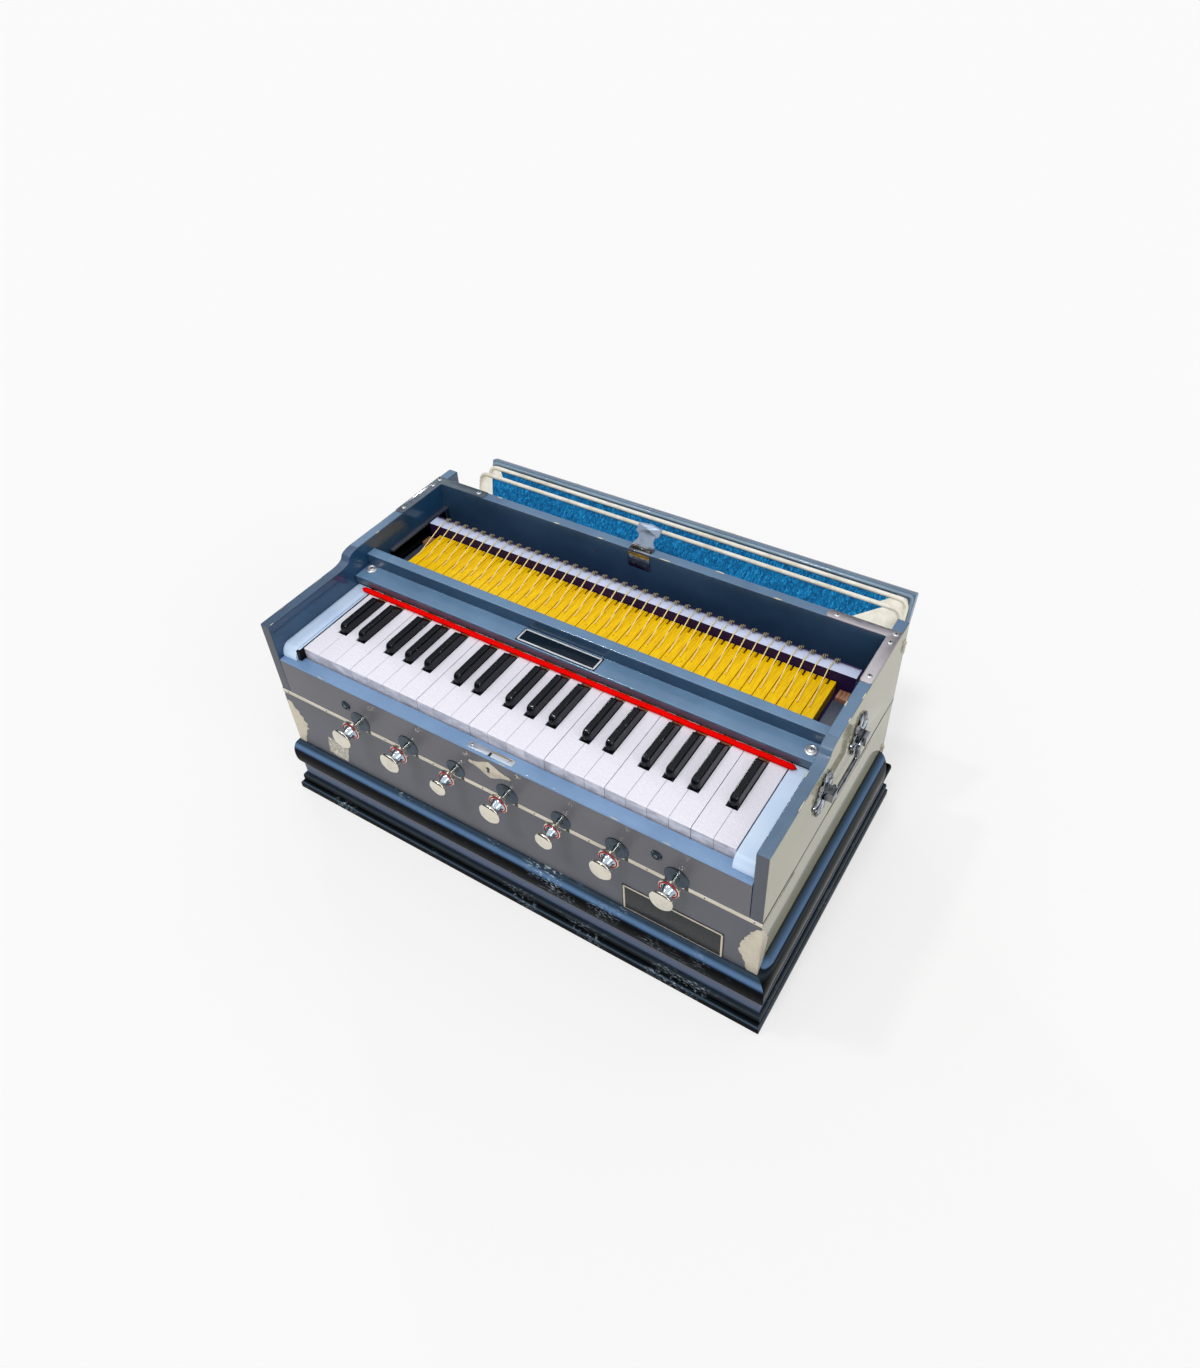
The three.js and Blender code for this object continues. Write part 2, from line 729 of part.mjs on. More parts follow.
// An outline may hold a point twice where a neck has no step, and this leaves the second one out
function without_doubles(outline) {
  return outline.filter(([a, b], i) => {
    const [c, d] = outline[(i + outline.length - 1) % outline.length];
    return Math.hypot(a - c, b - d) > double_share * case_width;
  });
}

function white_side() {
  const bevel = white_edge_bevel;
  const neck_end = key_front + neck_length;
  return [[key_front, white_bottom], [neck_end - lever_top_drop, white_bottom],
    [neck_end - lever_top_drop, lever_bottom], [pallet_front, lever_bottom], [pallet_front, pallet_bottom],
    [pallet_rear, pallet_bottom], [pallet_rear, pallet_top], [pallet_front, pallet_top],
    [pallet_front, lever_top], [neck_end, lever_top], [neck_end, white_top],
    [key_front + bevel, white_top], [key_front, white_top - bevel]];
}

function white_key(note, white_index) {
  const plan = without_doubles(white_plan(note, white_index));
  const xs = plan.map(([x]) => x);
  const span = [Math.min(...xs) - cut_overrun, Math.max(...xs) + cut_overrun];
  const levels = [white_bottom - cut_overrun, pallet_top + cut_overrun];
  const key = to_solid(extrude_z(plan, levels)).intersect(to_solid(extrude_x(white_side(), span)));
  return to_geometry(cut(key, [pallet_slit(note)]));
}

// Black keys: a lever and pallet, with the sharp standing on the lever
function sharp_cap(centre) {
  const front = key_front + sharp_setback;
  const rear = front + sharp_length;
  const top = white_top + sharp_rise;
  const slope_top = top - sharp_top_round;
  const foot = sharp_base_width / 2;
  const half_top = sharp_top_width / 2;
  const top_nose = front + sharp_front_slope;
  const top_tail = rear - sharp_rear_slope;
  const levels = [
    { z: lever_top - cut_overrun, half: foot, nose: front, tail: rear },
    { z: white_top + sharp_foot_height, half: foot, nose: front, tail: rear },
    { z: slope_top, half: half_top, nose: top_nose, tail: top_tail },
    {
      z: top,
      half: half_top - sharp_top_round,
      nose: top_nose + sharp_top_round,
      tail: top_tail - sharp_top_round,
    },
  ];
  return stack_of_rings(levels.map(({ z, half, nose, tail }) => {
    const radius = half * sharp_nose_share;
    const rounded = arc_points([centre, nose + radius], [half, radius], [Math.PI, 2 * Math.PI], curve_steps);
    return [...rounded, [centre + half, tail], [centre - half, tail]].map(([x, y]) => [x, y, z]);
  }));
}

function black_key(note) {
  const centre = tail_centre(note);
  const front = key_front + sharp_setback + key_gap;
  const neck_end = key_front + neck_length;
  const narrow = [centre - sharp_lever_width / 2, centre + sharp_lever_width / 2];
  const wide = [centre - lever_width / 2, centre + lever_width / 2];
  const pallet = [centre - pallet_width / 2, centre + pallet_width / 2];
  const front_lever = block(narrow, [front, neck_end + cut_overrun], [lever_bottom, lever_top]);
  const lever_end = pallet_front + valve_board_setback / 2;
  const rear_lever = block(wide, [neck_end, lever_end], [lever_bottom, lever_top]);
  const rear_pallet = block(pallet, [pallet_front, pallet_rear], [pallet_bottom, pallet_top]);
  const key = join(front_lever, rear_lever, rear_pallet, sharp_cap(centre));
  return to_geometry(cut(key, [pallet_slit(note)]));
}

let white_index = 0;
let black_index = 0;
notes.forEach((note) => {
  if (is_white(note)) {
    const name = `white_key_${String(white_index + 1).padStart(2, '0')}`;
    add_piece(name, white_key(note, white_index), ivory_plastic);
    white_index += 1;
  } else {
    const name = `black_key_${String(black_index + 1).padStart(2, '0')}`;
    add_piece(name, black_key(note), ebony_plastic);
    black_index += 1;
  }
});

// Stops: a turned knob on a rod that runs in through the front rail to its valve
function stop_profile({ cap_radius, flange_radius, waist_radius, collar_radius }) {
  const flange_end = stop_neck_out + stop_flange_thickness;
  const waist_end = flange_end + stop_waist_length;
  const cap_start = waist_end + stop_throat_length;
  const cap_end = cap_start + stop_cap_length / 2;
  const inner_end = stop_rod_inside + stop_valve_thickness;
  const outward = [[0, cap_end + stop_cap_dome], [cap_radius * stop_dome_share, cap_end + stop_cap_dome / 2],
    [cap_radius, cap_end - stop_cap_dome / 2], [cap_radius, cap_start], [collar_radius, waist_end],
    [waist_radius, (waist_end + flange_end) / 2], [collar_radius, flange_end],
    [flange_radius, flange_end], [flange_radius, stop_neck_out], [stop_rod_radius, stop_neck_out],
    [stop_rod_radius, -stop_rod_inside], [stop_valve_radius, -stop_rod_inside],
    [stop_valve_radius, -inner_end], [0, -inner_end]];
  return outward.map(([radius, out]) => new THREE.Vector2(radius, -out));
}

stop_places.forEach((x, index) => {
  const knob = new THREE.LatheGeometry(stop_profile(stop_sizes[index]), stop_sides);
  knob.translate(x, 0, stop_height);
  add_piece(`stop_${index + 1}`, to_geometry(to_solid(knob)), chrome);
});

// Bellows: the board leans back from its foot hinge, and the folds fan out between it and the rear panel
const bellows_axis = [case_depth + bellows_axis_gap, bellows_axis_height];

function leaning([out, up], angle) {
  const [axis_y_place, axis_z_place] = bellows_axis;
  return [axis_y_place + out * Math.cos(angle) + up * Math.sin(angle),
    axis_z_place - out * Math.sin(angle) + up * Math.cos(angle)];
}

function bellows_board() {
  const bevel = board_edge_bevel;
  const outline = [[0, board_foot_gap], [board_thickness, board_foot_gap],
    [board_thickness, board_length - bevel], [board_thickness - bevel, board_length], [0, board_length]];
  return extrude_x(outline.map((point) => leaning(point, bellows_open_angle)),
    [-board_half_width, board_half_width]);
}

add_piece('bellows_board', bellows_board(), blue_grey_paint);

// Each frame of the folds: its share of the way open, the share of the board's length that it reaches,
// and whether it is a pleat's inner line
const fold_frame_shares = [
  { open_share: 0.08, reach_share: 0.815, pleat: true },
  { open_share: 0.57, reach_share: 0.945, pleat: false },
  { open_share: 0.7, reach_share: 0.86, pleat: true },
  { open_share: 0.865, reach_share: fold_top_share, pleat: false },
  { open_share: 0.925, reach_share: 0.89, pleat: true },
];

function bellows_folds() {
  const face = panel_rear + seat_gap;
  const foot_z = bellows_axis_height + fold_foot;
  const frames = [{ foot: [face, foot_z], head: [face, bellows_axis_height + fold_case_top],
    half: fold_case_half_width }];
  const foot_run = case_depth - face;
  fold_frame_shares.forEach(({ open_share, reach_share, pleat }) => {
    frames.push({
      foot: [face + foot_run * (1 + open_share) / 2, foot_z + (pleat ? fold_pleat_foot : 0)],
      head: leaning([0, board_length * reach_share], bellows_open_angle * open_share),
      half: pleat ? fold_half_width - fold_pleat_depth : fold_half_width,
    });
  });
  frames.push({ foot: leaning([-seat_gap, fold_foot], bellows_open_angle),
    head: leaning([-seat_gap, board_length * fold_top_share], bellows_open_angle),
    half: fold_case_half_width });
  return stack_of_rings(frames.map(({ foot, head, half }) =>
    [[half, ...foot], [-half, ...foot], [-half, ...head], [half, ...head]]));
}

add_piece('bellows_folds', bellows_folds(), blue_cloth);

// Reservoir board: it lies on the floor of the lower case and is lifted by the air that is pumped in
const reservoir_rear = panel_front - reservoir_rear_gap;
const reservoir_front = lower_front_thickness + reservoir_front_gap;
const reservoir_bottom = lower_case_bottom + floor_thickness + seat_gap;
add_piece('reservoir_board', block([-reservoir_half_width, reservoir_half_width],
  [reservoir_front, reservoir_rear],
  [reservoir_bottom, reservoir_bottom + reservoir_thickness]), soft_wood);

// Latch clip: a sheet-metal stem with a waist and a head, on a barrel along the rear panel's top edge
const clip_axis = [(panel_front + panel_rear) / 2, cheek_rear_top + seat_gap + clip_barrel_radius];

function latch_clip() {
  const [y, z] = clip_axis;
  const barrel = new THREE.CylinderGeometry(clip_barrel_radius, clip_barrel_radius, clip_width, stop_sides);
  barrel.rotateZ(Math.PI / 2);
  barrel.translate(0, y, z);
  const bend = [y + clip_stem_run, z + clip_stem_rise];
  const tip = [bend[0] + clip_head_run, bend[1] + clip_head_rise];
  const sheet = clip_sheet;
  const side = [[y, z], [y + sheet, z], [bend[0] + sheet, bend[1]], [tip[0] + sheet, tip[1]], tip,
    [bend[0] - sheet / 2, bend[1] + sheet / 2]];
  const rise = tip[1] - z;
  const wide = clip_width / 2;
  const narrow = clip_waist_width / 2;
  const right_edge = [[wide, z], [wide, z + rise * clip_waist_start_share],
    [narrow, z + rise * clip_waist_end_share], [wide, z + rise * clip_head_start_share],
    [wide, tip[1] + cut_overrun]];
  const left_edge = right_edge.map(([x, level]) => [-x, level]).reverse();
  const stem = to_solid(extrude_x(side, [-clip_width, clip_width]))
    .intersect(to_solid(extrude_y([...right_edge, ...left_edge], [y - clip_width, y + clip_width])));
  return to_geometry(stem.add(to_solid(barrel)));
}

add_piece('latch_clip', latch_clip(), chrome);

// Handles: a round bail that hangs between the two bosses on each cheek
function bail(side) {
  const x = side * (half_width + bail_out);
  const z = handle_centre_height;
  const half = handle_boss_size / 2;
  const start = boss_places[0] + half + seat_gap;
  const end = boss_places[1] - half - seat_gap;
  const near = start + bail_stub;
  const far = end - bail_stub;
  const low = z - bail_drop;
  const bend = bail_bend;
  const quarter = Math.PI / 2;
  const radii = [bend, bend];
  const outline = [[start, z],
    ...arc_points([near - bend, z - bend], radii, [quarter, 0], bend_steps),
    ...arc_points([near + bend, low + bend], radii, [Math.PI, Math.PI + quarter], bend_steps),
    ...arc_points([far - bend, low + bend], radii, [-quarter, 0], bend_steps),
    ...arc_points([far + bend, z - bend], radii, [Math.PI, quarter], bend_steps),
    [end, z]];
  const route = new Route(outline.map(([y, level]) => new THREE.Vector3(x, y, level)));
  return tube(route, bail_radius, bail_sides);
}

add_piece('handle_right', bail(1), chrome);
add_piece('handle_left', bail(-1), chrome);

// The origin is under the middle of the whole instrument, on the surface that it stands on
const extent = new THREE.Box3().setFromObject(assembly);
const middle = extent.getCenter(new THREE.Vector3());
assembly.position.set(-middle.x, -middle.y, -extent.min.z);
harmonium.updateMatrixWorld(true);

export default harmonium;
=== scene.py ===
# %% [markdown]
# # An Indian harmonium, dressed over its CAD frame
# The instrument is already built as a frame of solids with joints. This lesson gives it the look of the
# real one: painted and laminated wood, celluloid keys, wire springs, chromed stops and cloth bellows.
# Every piece is placed in the frame's own metres, so nothing has to be fitted.

import json
import math

import bmesh
import bpy
from mathutils import Matrix, Vector, noise

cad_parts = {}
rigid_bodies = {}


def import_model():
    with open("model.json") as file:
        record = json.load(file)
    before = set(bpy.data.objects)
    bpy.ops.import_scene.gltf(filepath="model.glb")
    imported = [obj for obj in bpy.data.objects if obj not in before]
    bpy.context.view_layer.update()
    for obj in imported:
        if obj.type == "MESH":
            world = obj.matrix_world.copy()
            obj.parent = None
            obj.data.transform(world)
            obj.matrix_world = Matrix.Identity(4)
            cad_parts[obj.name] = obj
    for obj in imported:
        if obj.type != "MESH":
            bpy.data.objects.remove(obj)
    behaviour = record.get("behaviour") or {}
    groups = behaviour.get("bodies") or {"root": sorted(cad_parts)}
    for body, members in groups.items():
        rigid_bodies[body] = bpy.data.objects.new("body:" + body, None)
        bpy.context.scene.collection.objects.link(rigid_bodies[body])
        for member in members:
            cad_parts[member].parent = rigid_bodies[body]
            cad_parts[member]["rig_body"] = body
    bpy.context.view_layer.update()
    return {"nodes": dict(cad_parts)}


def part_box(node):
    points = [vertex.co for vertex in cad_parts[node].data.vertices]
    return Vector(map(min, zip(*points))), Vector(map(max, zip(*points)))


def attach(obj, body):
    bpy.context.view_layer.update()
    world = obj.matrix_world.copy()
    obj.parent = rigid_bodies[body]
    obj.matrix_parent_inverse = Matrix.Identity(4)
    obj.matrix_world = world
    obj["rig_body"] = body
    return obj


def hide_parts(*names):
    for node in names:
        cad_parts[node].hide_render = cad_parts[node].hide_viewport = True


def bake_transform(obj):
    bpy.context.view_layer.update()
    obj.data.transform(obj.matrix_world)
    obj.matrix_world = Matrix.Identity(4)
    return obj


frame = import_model()

# %% [markdown]
# ## Places on the case
# A maker measures from the front of the case, in millimetres: x from its middle, y back from its front
# face, z up from the table. The frame is centred on the whole instrument, so one helper turns a maker's
# place into a place in the frame, and another turns it back.

# %% Maker's millimetres
MM = 0.001
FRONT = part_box("front_rail")[0].y


def at(x, y, z):
    """A place on the case, from millimetres, as a point in the frame."""
    return Vector((x * MM, y * MM + FRONT, z * MM))


def maker(point):
    """A point in the frame as millimetres on the case."""
    return Vector((point.x / MM, (point.y - FRONT) / MM, point.z / MM))


ACROSS, BACK, UP = Vector((1, 0, 0)), Vector((0, 1, 0)), Vector((0, 0, 1))
print("front of the case at y =", round(FRONT, 5))

# %% [markdown]
# ## The camera
# The photograph was taken from the front right, well above the keys. Its place, its turn and its lens were
# worked out from the straight edges of the case, so the drawing and the photograph lie on each other.
# The small shift is there because the picture was cut out of a larger one.

# %% Camera
AZIMUTH, ELEVATION, ROLL = 0.596715, 0.731066, -0.0526394
look = Vector((-math.sin(AZIMUTH) * math.cos(ELEVATION), math.cos(AZIMUTH) * math.cos(ELEVATION),
               -math.sin(ELEVATION)))
level = look.cross(UP).normalized()
rise = level.cross(look)
right = math.cos(ROLL) * level + math.sin(ROLL) * rise
top = -math.sin(ROLL) * level + math.cos(ROLL) * rise

camera = bpy.data.objects.new("camera", bpy.data.cameras.new("camera"))
bpy.context.scene.collection.objects.link(camera)
turn = Matrix((right, top, -look)).transposed().to_4x4()
camera.matrix_world = Matrix.Translation(at(480.7255, -482.5022, 971.2341)) @ turn
camera.data.sensor_width = 36
camera.data.lens = 1002.9366 / 1368 * 36
camera.data.shift_x = (600 - 608.1987) / 1368
camera.data.shift_y = (640.4934 - 684) / 1368
camera.data.clip_start, camera.data.clip_end = 0.05, 50
bpy.context.scene.camera = camera
print("lens", round(camera.data.lens, 2), "mm")

# %% [markdown]
# ## Helpers for finishes
# A finish is a tree of shader nodes. A few helpers are enough for all of them: one turns a written sRGB
# colour into the linear numbers that the shader wants, one adds a node with its settings and links, and one
# starts an empty finish.

# %% Colour and node helpers
def srgb(code):
    """A hex colour as linear numbers."""
    parts = [int(code[i:i + 2], 16) / 255 for i in (1, 3, 5)]
    return [p / 12.92 if p <= 0.04045 else ((p + 0.055) / 1.055) ** 2.4 for p in parts] + [1.0]


def feed(tree, node, inputs):
    """Give each named input of a node a value or a link."""
    for name, value in inputs.items():
        if isinstance(value, bpy.types.NodeSocket):
            tree.links.new(value, node.inputs[name])
        else:
            node.inputs[name].default_value = value


def add_node(tree, kind, inputs=None, **settings):
    """Add one node, set its properties and feed its inputs."""
    made = tree.nodes.new(kind)
    for name, value in settings.items():
        setattr(made, name, value)
    feed(tree, made, inputs or {})
    return made


def new_finish(name):
    """An empty finish: its node tree, its surface shader and the place where patterns are read."""
    finish = bpy.data.materials.new(name)
    finish.use_nodes = True
    tree = finish.node_tree
    surface = tree.nodes["Principled BSDF"]
    place = tree.nodes.new("ShaderNodeTexCoord").outputs["Object"]
    return finish, tree, surface, place


print("red as linear numbers:", [round(v, 3) for v in srgb("#D80000")])

# %% [markdown]
# ## What finishes have in common
# A real surface is never one flat colour. It has soft patches of a real size, a second colour that lies
# over the first where a pattern is strong, a gloss that wanders and a relief of a real depth. Many plain
# things need no more than that: two shades in cloudy patches over a slight relief.

# %% Patterns and layers
def clouds(tree, place, size_mm, stretch=(1, 1, 1), detail=4.0, roughness=0.55):
    """Soft random patches of a real size, longer along one way if stretched."""
    moved = add_node(tree, "ShaderNodeMapping", {"Vector": place, "Scale": [1 / s for s in stretch]})
    return add_node(tree, "ShaderNodeTexNoise", {"Vector": moved.outputs[0], "Scale": 1 / (size_mm * MM),
                    "Detail": detail, "Roughness": roughness}).outputs["Fac"]


def lay_over(tree, under, over, pattern, low, high, most=1.0):
    """Lay one colour over another where a pattern is strong: not at all below its low level, and by the
    share 'most' above its high one. Colours may be hex codes or sockets."""
    share = add_node(tree, "ShaderNodeMapRange", {"Value": pattern, "From Min": low, "From Max": high,
                     "To Min": 0.0, "To Max": most}).outputs[0]
    under, over = [srgb(c) if isinstance(c, str) else c for c in (under, over)]
    return add_node(tree, "ShaderNodeMix", {0: share, 6: under, 7: over}, data_type="RGBA").outputs[2]


def wandering_gloss(tree, surface, pattern, low, high, smooth, rough):
    """Let the roughness follow a pattern, between a smooth and a rough value."""
    follow = add_node(tree, "ShaderNodeMapRange", {"Value": pattern, "From Min": low, "From Max": high,
                      "To Min": smooth, "To Max": rough})
    feed(tree, surface, {"Roughness": follow.outputs[0]})


def raise_surface(tree, surface, height, depth_mm, strength):
    """Give the surface a relief of a real depth."""
    bump = add_node(tree, "ShaderNodeBump", {"Height": height, "Distance": depth_mm * MM,
                    "Strength": strength})
    feed(tree, surface, {"Normal": bump.outputs[0]})


def mottled(name, under, over, size_mm, levels, matt, relief, **pattern):
    """A plain finish in two shades that lie in cloudy patches, with a relief of (depth in mm, strength)."""
    finish, tree, surface, place = new_finish(name)
    patches = clouds(tree, place, size_mm, **pattern)
    feed(tree, surface, {"Base Color": lay_over(tree, under, over, patches, *levels),
                         "Roughness": matt})
    if relief:
        raise_surface(tree, surface, patches, *relief)
    return finish


print("patterns and layers ready")

# %% [markdown]
# ## Painted wood
# Most of the case is brush-painted with a blue-grey gloss enamel. Enamel lies in long, shallow brush
# strokes, it is a little paler where it pooled, and it catches dust. So one function mixes the colour in
# soft patches, lays fine strokes along the board, and lets the gloss wander a little.

# %% Enamel finishes
BODY_SHARE, STROKE_SHARE, DUST_GREY = 0.55, 0.22, "#C9D3DA"


def brushed_enamel(name, colour, pale, dark, along=(9, 1, 1), gloss=0.34, dust=0.25, coat=0.8):
    """Brush-painted enamel on wood, with strokes along one way. With no coat it is flat, as in a shadow."""
    finish, tree, surface, place = new_finish(name)
    patches = clouds(tree, place, 70, detail=3)
    strokes = clouds(tree, place, 2.2, stretch=along, detail=5)
    specks = clouds(tree, place, 1.6, detail=2)
    base = lay_over(tree, dark, pale, patches, 0.35, 0.65)
    base = add_node(tree, "ShaderNodeMix", {0: BODY_SHARE, 6: base, 7: srgb(colour)},
                    data_type="RGBA").outputs[2]
    stroked = lay_over(tree, base, pale, strokes, 0.45, 0.7, STROKE_SHARE)
    dusty = lay_over(tree, stroked, DUST_GREY, specks, 0.68, 0.76, dust)
    wandering_gloss(tree, surface, strokes, 0.3, 0.7, gloss - 0.06, gloss + 0.1)
    feed(tree, surface, {"Base Color": dusty, "Specular IOR Level": 0.3 if coat else 0.05,
                         "Coat Weight": coat, "Coat Roughness": 0.1})
    raise_surface(tree, surface, strokes, 0.06, 0.25)
    return finish


ALONG_Y = (1, 9, 1)
edge_enamel = brushed_enamel("blue_grey_gloss_enamel", "#5C7896", "#6B88A6", "#4E6884")
cheek_enamel = brushed_enamel("cheek_edge_enamel", "#516B85", "#627D98", "#445C74", ALONG_Y)
# The left cheek's edges are a darker copy of the cheek enamel: painted shade.
shaded_left_cheek_enamel = brushed_enamel("left_cheek_edge_enamel_painted_shade", "#3A526E", "#48627E", "#304860", ALONG_Y)
bracket_enamel = brushed_enamel("painted_bracket_enamel", "#465361", "#65727E", "#333C46", gloss=0.28)
board_enamel = brushed_enamel("name_board_gloss_enamel", "#5F80A1", "#6F90B1", "#527290")
# A darker copy of the name board's enamel, for its front and a strip on the bellows board: painted shade.
board_front_shade_enamel = brushed_enamel("name_board_front_enamel_painted_shade", "#3A5064", "#455D74", "#304456")
# The bead is painted paler than the board: a painted highlight along its round.
bead_enamel_painted_highlight = brushed_enamel("bead_enamel_painted_highlight", "#7C93A4", "#93A9B6", "#6A8090")
# Navy is painted shade: the faces inside the well and the front of the name board's raised rail lie in shade.
shaded_navy_enamel = brushed_enamel("navy_enamel_painted_shade", "#27435F", "#33506E", "#1B334B", dust=0.12)
inner_enamel = brushed_enamel("cheek_inner_enamel", "#163E62", "#224C70", "#103252", ALONG_Y)
rail_enamel = brushed_enamel("front_rail_sky_enamel", "#7494BB", "#84A4CB", "#6686AD")
block_enamel = brushed_enamel("pale_blue_enamel", "#CEE4FF", "#DCEEFF", "#BAD2F6", ALONG_Y, dust=0.1)
lavender_enamel = brushed_enamel("lavender_enamel", "#C6D0EC", "#D4DCF8", "#B2BCDC")
# Black-purple: the spring rail's own dark purple front, partly painted shade, and painted shade on the well's
# floor.
shadow_enamel = brushed_enamel("black_purple_enamel_and_painted_shade", "#2A1A44", "#362450", "#1E1230", dust=0.05, coat=0)
slate_enamel = brushed_enamel("slate_enamel", "#3E4552", "#485061", "#333A46", ALONG_Y)
print("enamels:", len([m for m in bpy.data.materials if "enamel" in m.name]))

# %% [markdown]
# ## Decorative laminate
# The front and the sides are faced with a sheet of plastic laminate, satin grey in front and glossy
# beige-grey at the sides. These tones, and the darker greys of the lower front and the cheeks' fronts, are
# partly painted light: each face has the tone that it shows in its own light. The laminate is even in colour,
# with a very fine speckle from its printed paper. The sheet is glued over wood that is not quite flat, so its
# mirror image of the handles is a little wavy.

# %% Laminates
def pressed_laminate(name, colour, pale, dark, gloss=0.33):
    """Melamine laminate: even in colour, with a fine printed speckle."""
    finish, tree, surface, place = new_finish(name)
    print_speckle = clouds(tree, place, 1.1, detail=3)
    patches = clouds(tree, place, 90, detail=2)
    base = lay_over(tree, dark, pale, patches, 0.35, 0.65, 0.7)
    base = add_node(tree, "ShaderNodeMix", {0: 0.5, 6: base, 7: srgb(colour)}, data_type="RGBA").outputs[2]
    speckled = lay_over(tree, base, dark, print_speckle, 0.5, 0.7, 0.4)
    feed(tree, surface, {"Base Color": speckled, "Roughness": gloss, "Specular IOR Level": 0.4})
    raise_surface(tree, surface, patches, 1.2, 0.12)
    return finish


# The greys of the fronts and the sides' beige-grey are partly painted light, one tone for each face's light.
front_laminate = pressed_laminate("grey_laminate", "#626268", "#6A6A6F", "#595A61")
low_laminate = pressed_laminate("lower_front_laminate", "#56585F", "#5E5F67", "#4D4F57")
cheek_laminate = pressed_laminate("cheek_front_laminate", "#4C515B", "#555A64", "#434851")
side_laminate = pressed_laminate("beige_grey_laminate", "#A09D86", "#AAA791", "#93907A", gloss=0.05)
print("laminates:", len([m for m in bpy.data.materials if "laminate" in m.name]))

# %% [markdown]
# ## Black lacquer on the plinth
# The plinth is a moulded board under thick black lacquer. Lacquer is nearly a mirror, so what the eye sees
# is mostly the light along its edges: the navy and pale blue on the raised round and on the roll over the
# joint, the grey in the hollow and the pale lines on the bead and the foot. Those soft bands of light run the
# whole length of a moulding, so they are drawn as painted highlights and painted reflections, in bands of a
# real height.

# %% Lacquers
CHIP_GLINT_BLUE = "#C2D2E0"


def set_shades(ramp, shades):
    """Give a colour ramp its stops, as (share, hex colour). It has two to begin with."""
    stops = ramp.color_ramp.elements
    for index, (share, shade) in enumerate(shades):
        stop = stops[index] if index < 2 else stops.new(share)
        stop.position, stop.color = share, srgb(shade)


def thick_lacquer(name, ground, pale, gloss=0.1, mirror=0.14, chip_glints=0.0):
    """Glossy lacquer with small sags and a few scuffed patches, and with pale chipped spots that carry
    painted glints, mainly in front. Its ground is one colour, or bands of (height in mm, colour) that run
    along a
    moulding: painted highlights, painted reflections and painted shade."""
    finish, tree, surface, place = new_finish(name)
    sags = clouds(tree, place, 26, stretch=(4, 4, 1), detail=3)
    scuffs_and_highlights = clouds(tree, place, 3, stretch=(6, 6, 1), detail=6, roughness=0.7)
    where = add_node(tree, "ShaderNodeSeparateXYZ", {"Vector": place}).outputs
    if not isinstance(ground, str):
        low, high = ground[0][0], ground[-1][0]
        climb = add_node(tree, "ShaderNodeMapRange", {"Value": where["Z"], "From Min": low * MM,
                         "From Max": high * MM}).outputs[0]
        ramp = add_node(tree, "ShaderNodeValToRGB", {"Fac": climb})
        set_shades(ramp, [((level - low) / (high - low), shade) for level, shade in ground])
        ground = ramp.outputs["Color"]
    base = lay_over(tree, ground, pale, scuffs_and_highlights, 0.6, 0.72, 0.35)
    # Pale chipped spots, mainly in front; their paleness is partly a painted glint.
    if chip_glints:
        glint_flecks = clouds(tree, place, 1.3, stretch=(4, 4, 1), detail=3)
        zones = clouds(tree, place, 90, detail=2)
        share = 1.0
        for pattern, low, high, least, most in (
                (glint_flecks, 0.56, 0.62, 0.0, 1.0), (zones, 0.52, 0.62, 0.0, 1.0),
                (where["Y"], FRONT + 0.001, FRONT + 0.006, chip_glints, chip_glints * 0.25)):
            step = add_node(tree, "ShaderNodeMapRange", {"Value": pattern, "From Min": low,
                            "From Max": high, "To Min": least, "To Max": most}).outputs[0]
            share = add_node(tree, "ShaderNodeMath", {0: share, 1: step}, operation="MULTIPLY").outputs[0]
        base = add_node(tree, "ShaderNodeMix", {0: share, 6: base, 7: srgb(CHIP_GLINT_BLUE)},
                        data_type="RGBA").outputs[2]
    wandering_gloss(tree, surface, scuffs_and_highlights, 0.45, 0.75, gloss, gloss + 0.3)
    feed(tree, surface, {"Base Color": base, "Specular IOR Level": mirror})
    raise_surface(tree, surface, sags, 0.5, 0.4)
    return finish


# Black for pieces that paint shade in the well.
black_lacquer = thick_lacquer("black_lacquer", "#05080C", "#0E141B")
plate_lacquer = thick_lacquer("nameplate_lacquer", "#131F2B", "#33475A", gloss=0.2)
# The bands of these lacquers are painted highlights, painted reflections and painted shade along each
# moulding.
foot_lacquer = thick_lacquer("foot_lacquer", (
    (0, "#04070B"), (6.4, "#05090E"), (7.6, "#16202C"), (9.2, "#445260"), (10, "#0C1116"), (12, "#020304"),
    (18, "#05080B"), (22.4, "#343B42"), (23, "#262D34")), "#10171F", mirror=0.02, chip_glints=0.5)
hollow_lacquer = thick_lacquer("hollow_lacquer", (
    (23, "#222C37"), (25, "#3A4656"), (27, "#52617A"), (32, "#56637A"), (38, "#5A5F6E"), (42, "#5E5F68"),
    (43, "#4A4A50")), "#5A5D68", gloss=0.25, mirror=0.08)
torus_lacquer = thick_lacquer("torus_lacquer", (
    (43, "#2C2E36"), (46, "#101216"), (49, "#030406"), (66.5, "#020304")), "#10161E", mirror=0.01)
front_roll_lacquer = thick_lacquer("front_roll_lacquer", (
    (68, "#020306"), (69.6, "#0D1824"), (70.8, "#1E3044"), (72.4, "#466082"), (74.6, "#58759A"),
    (77, "#567498"), (79.2, "#40586F"), (80.6, "#2A3C50"), (83, "#34424F"), (84, "#242E38")),
    "#5E7C9C", mirror=0.02, chip_glints=0.55)
side_roll_lacquer = thick_lacquer("side_roll_lacquer", (
    (50, "#020304"), (79, "#030406"), (81.5, "#0E1317"), (85, "#262F34"), (88, "#121A24"), (89.2, "#101A26"),
    (90.6, "#546E8E"), (94, "#4E6886"), (96.4, "#405874"), (98.2, "#3C4A5A"), (99.4, "#36424C"),
    (100, "#2A3034")), "#34465A", mirror=0.02)
print("lacquers:", len([m for m in bpy.data.materials if "lacquer" in m.name]))

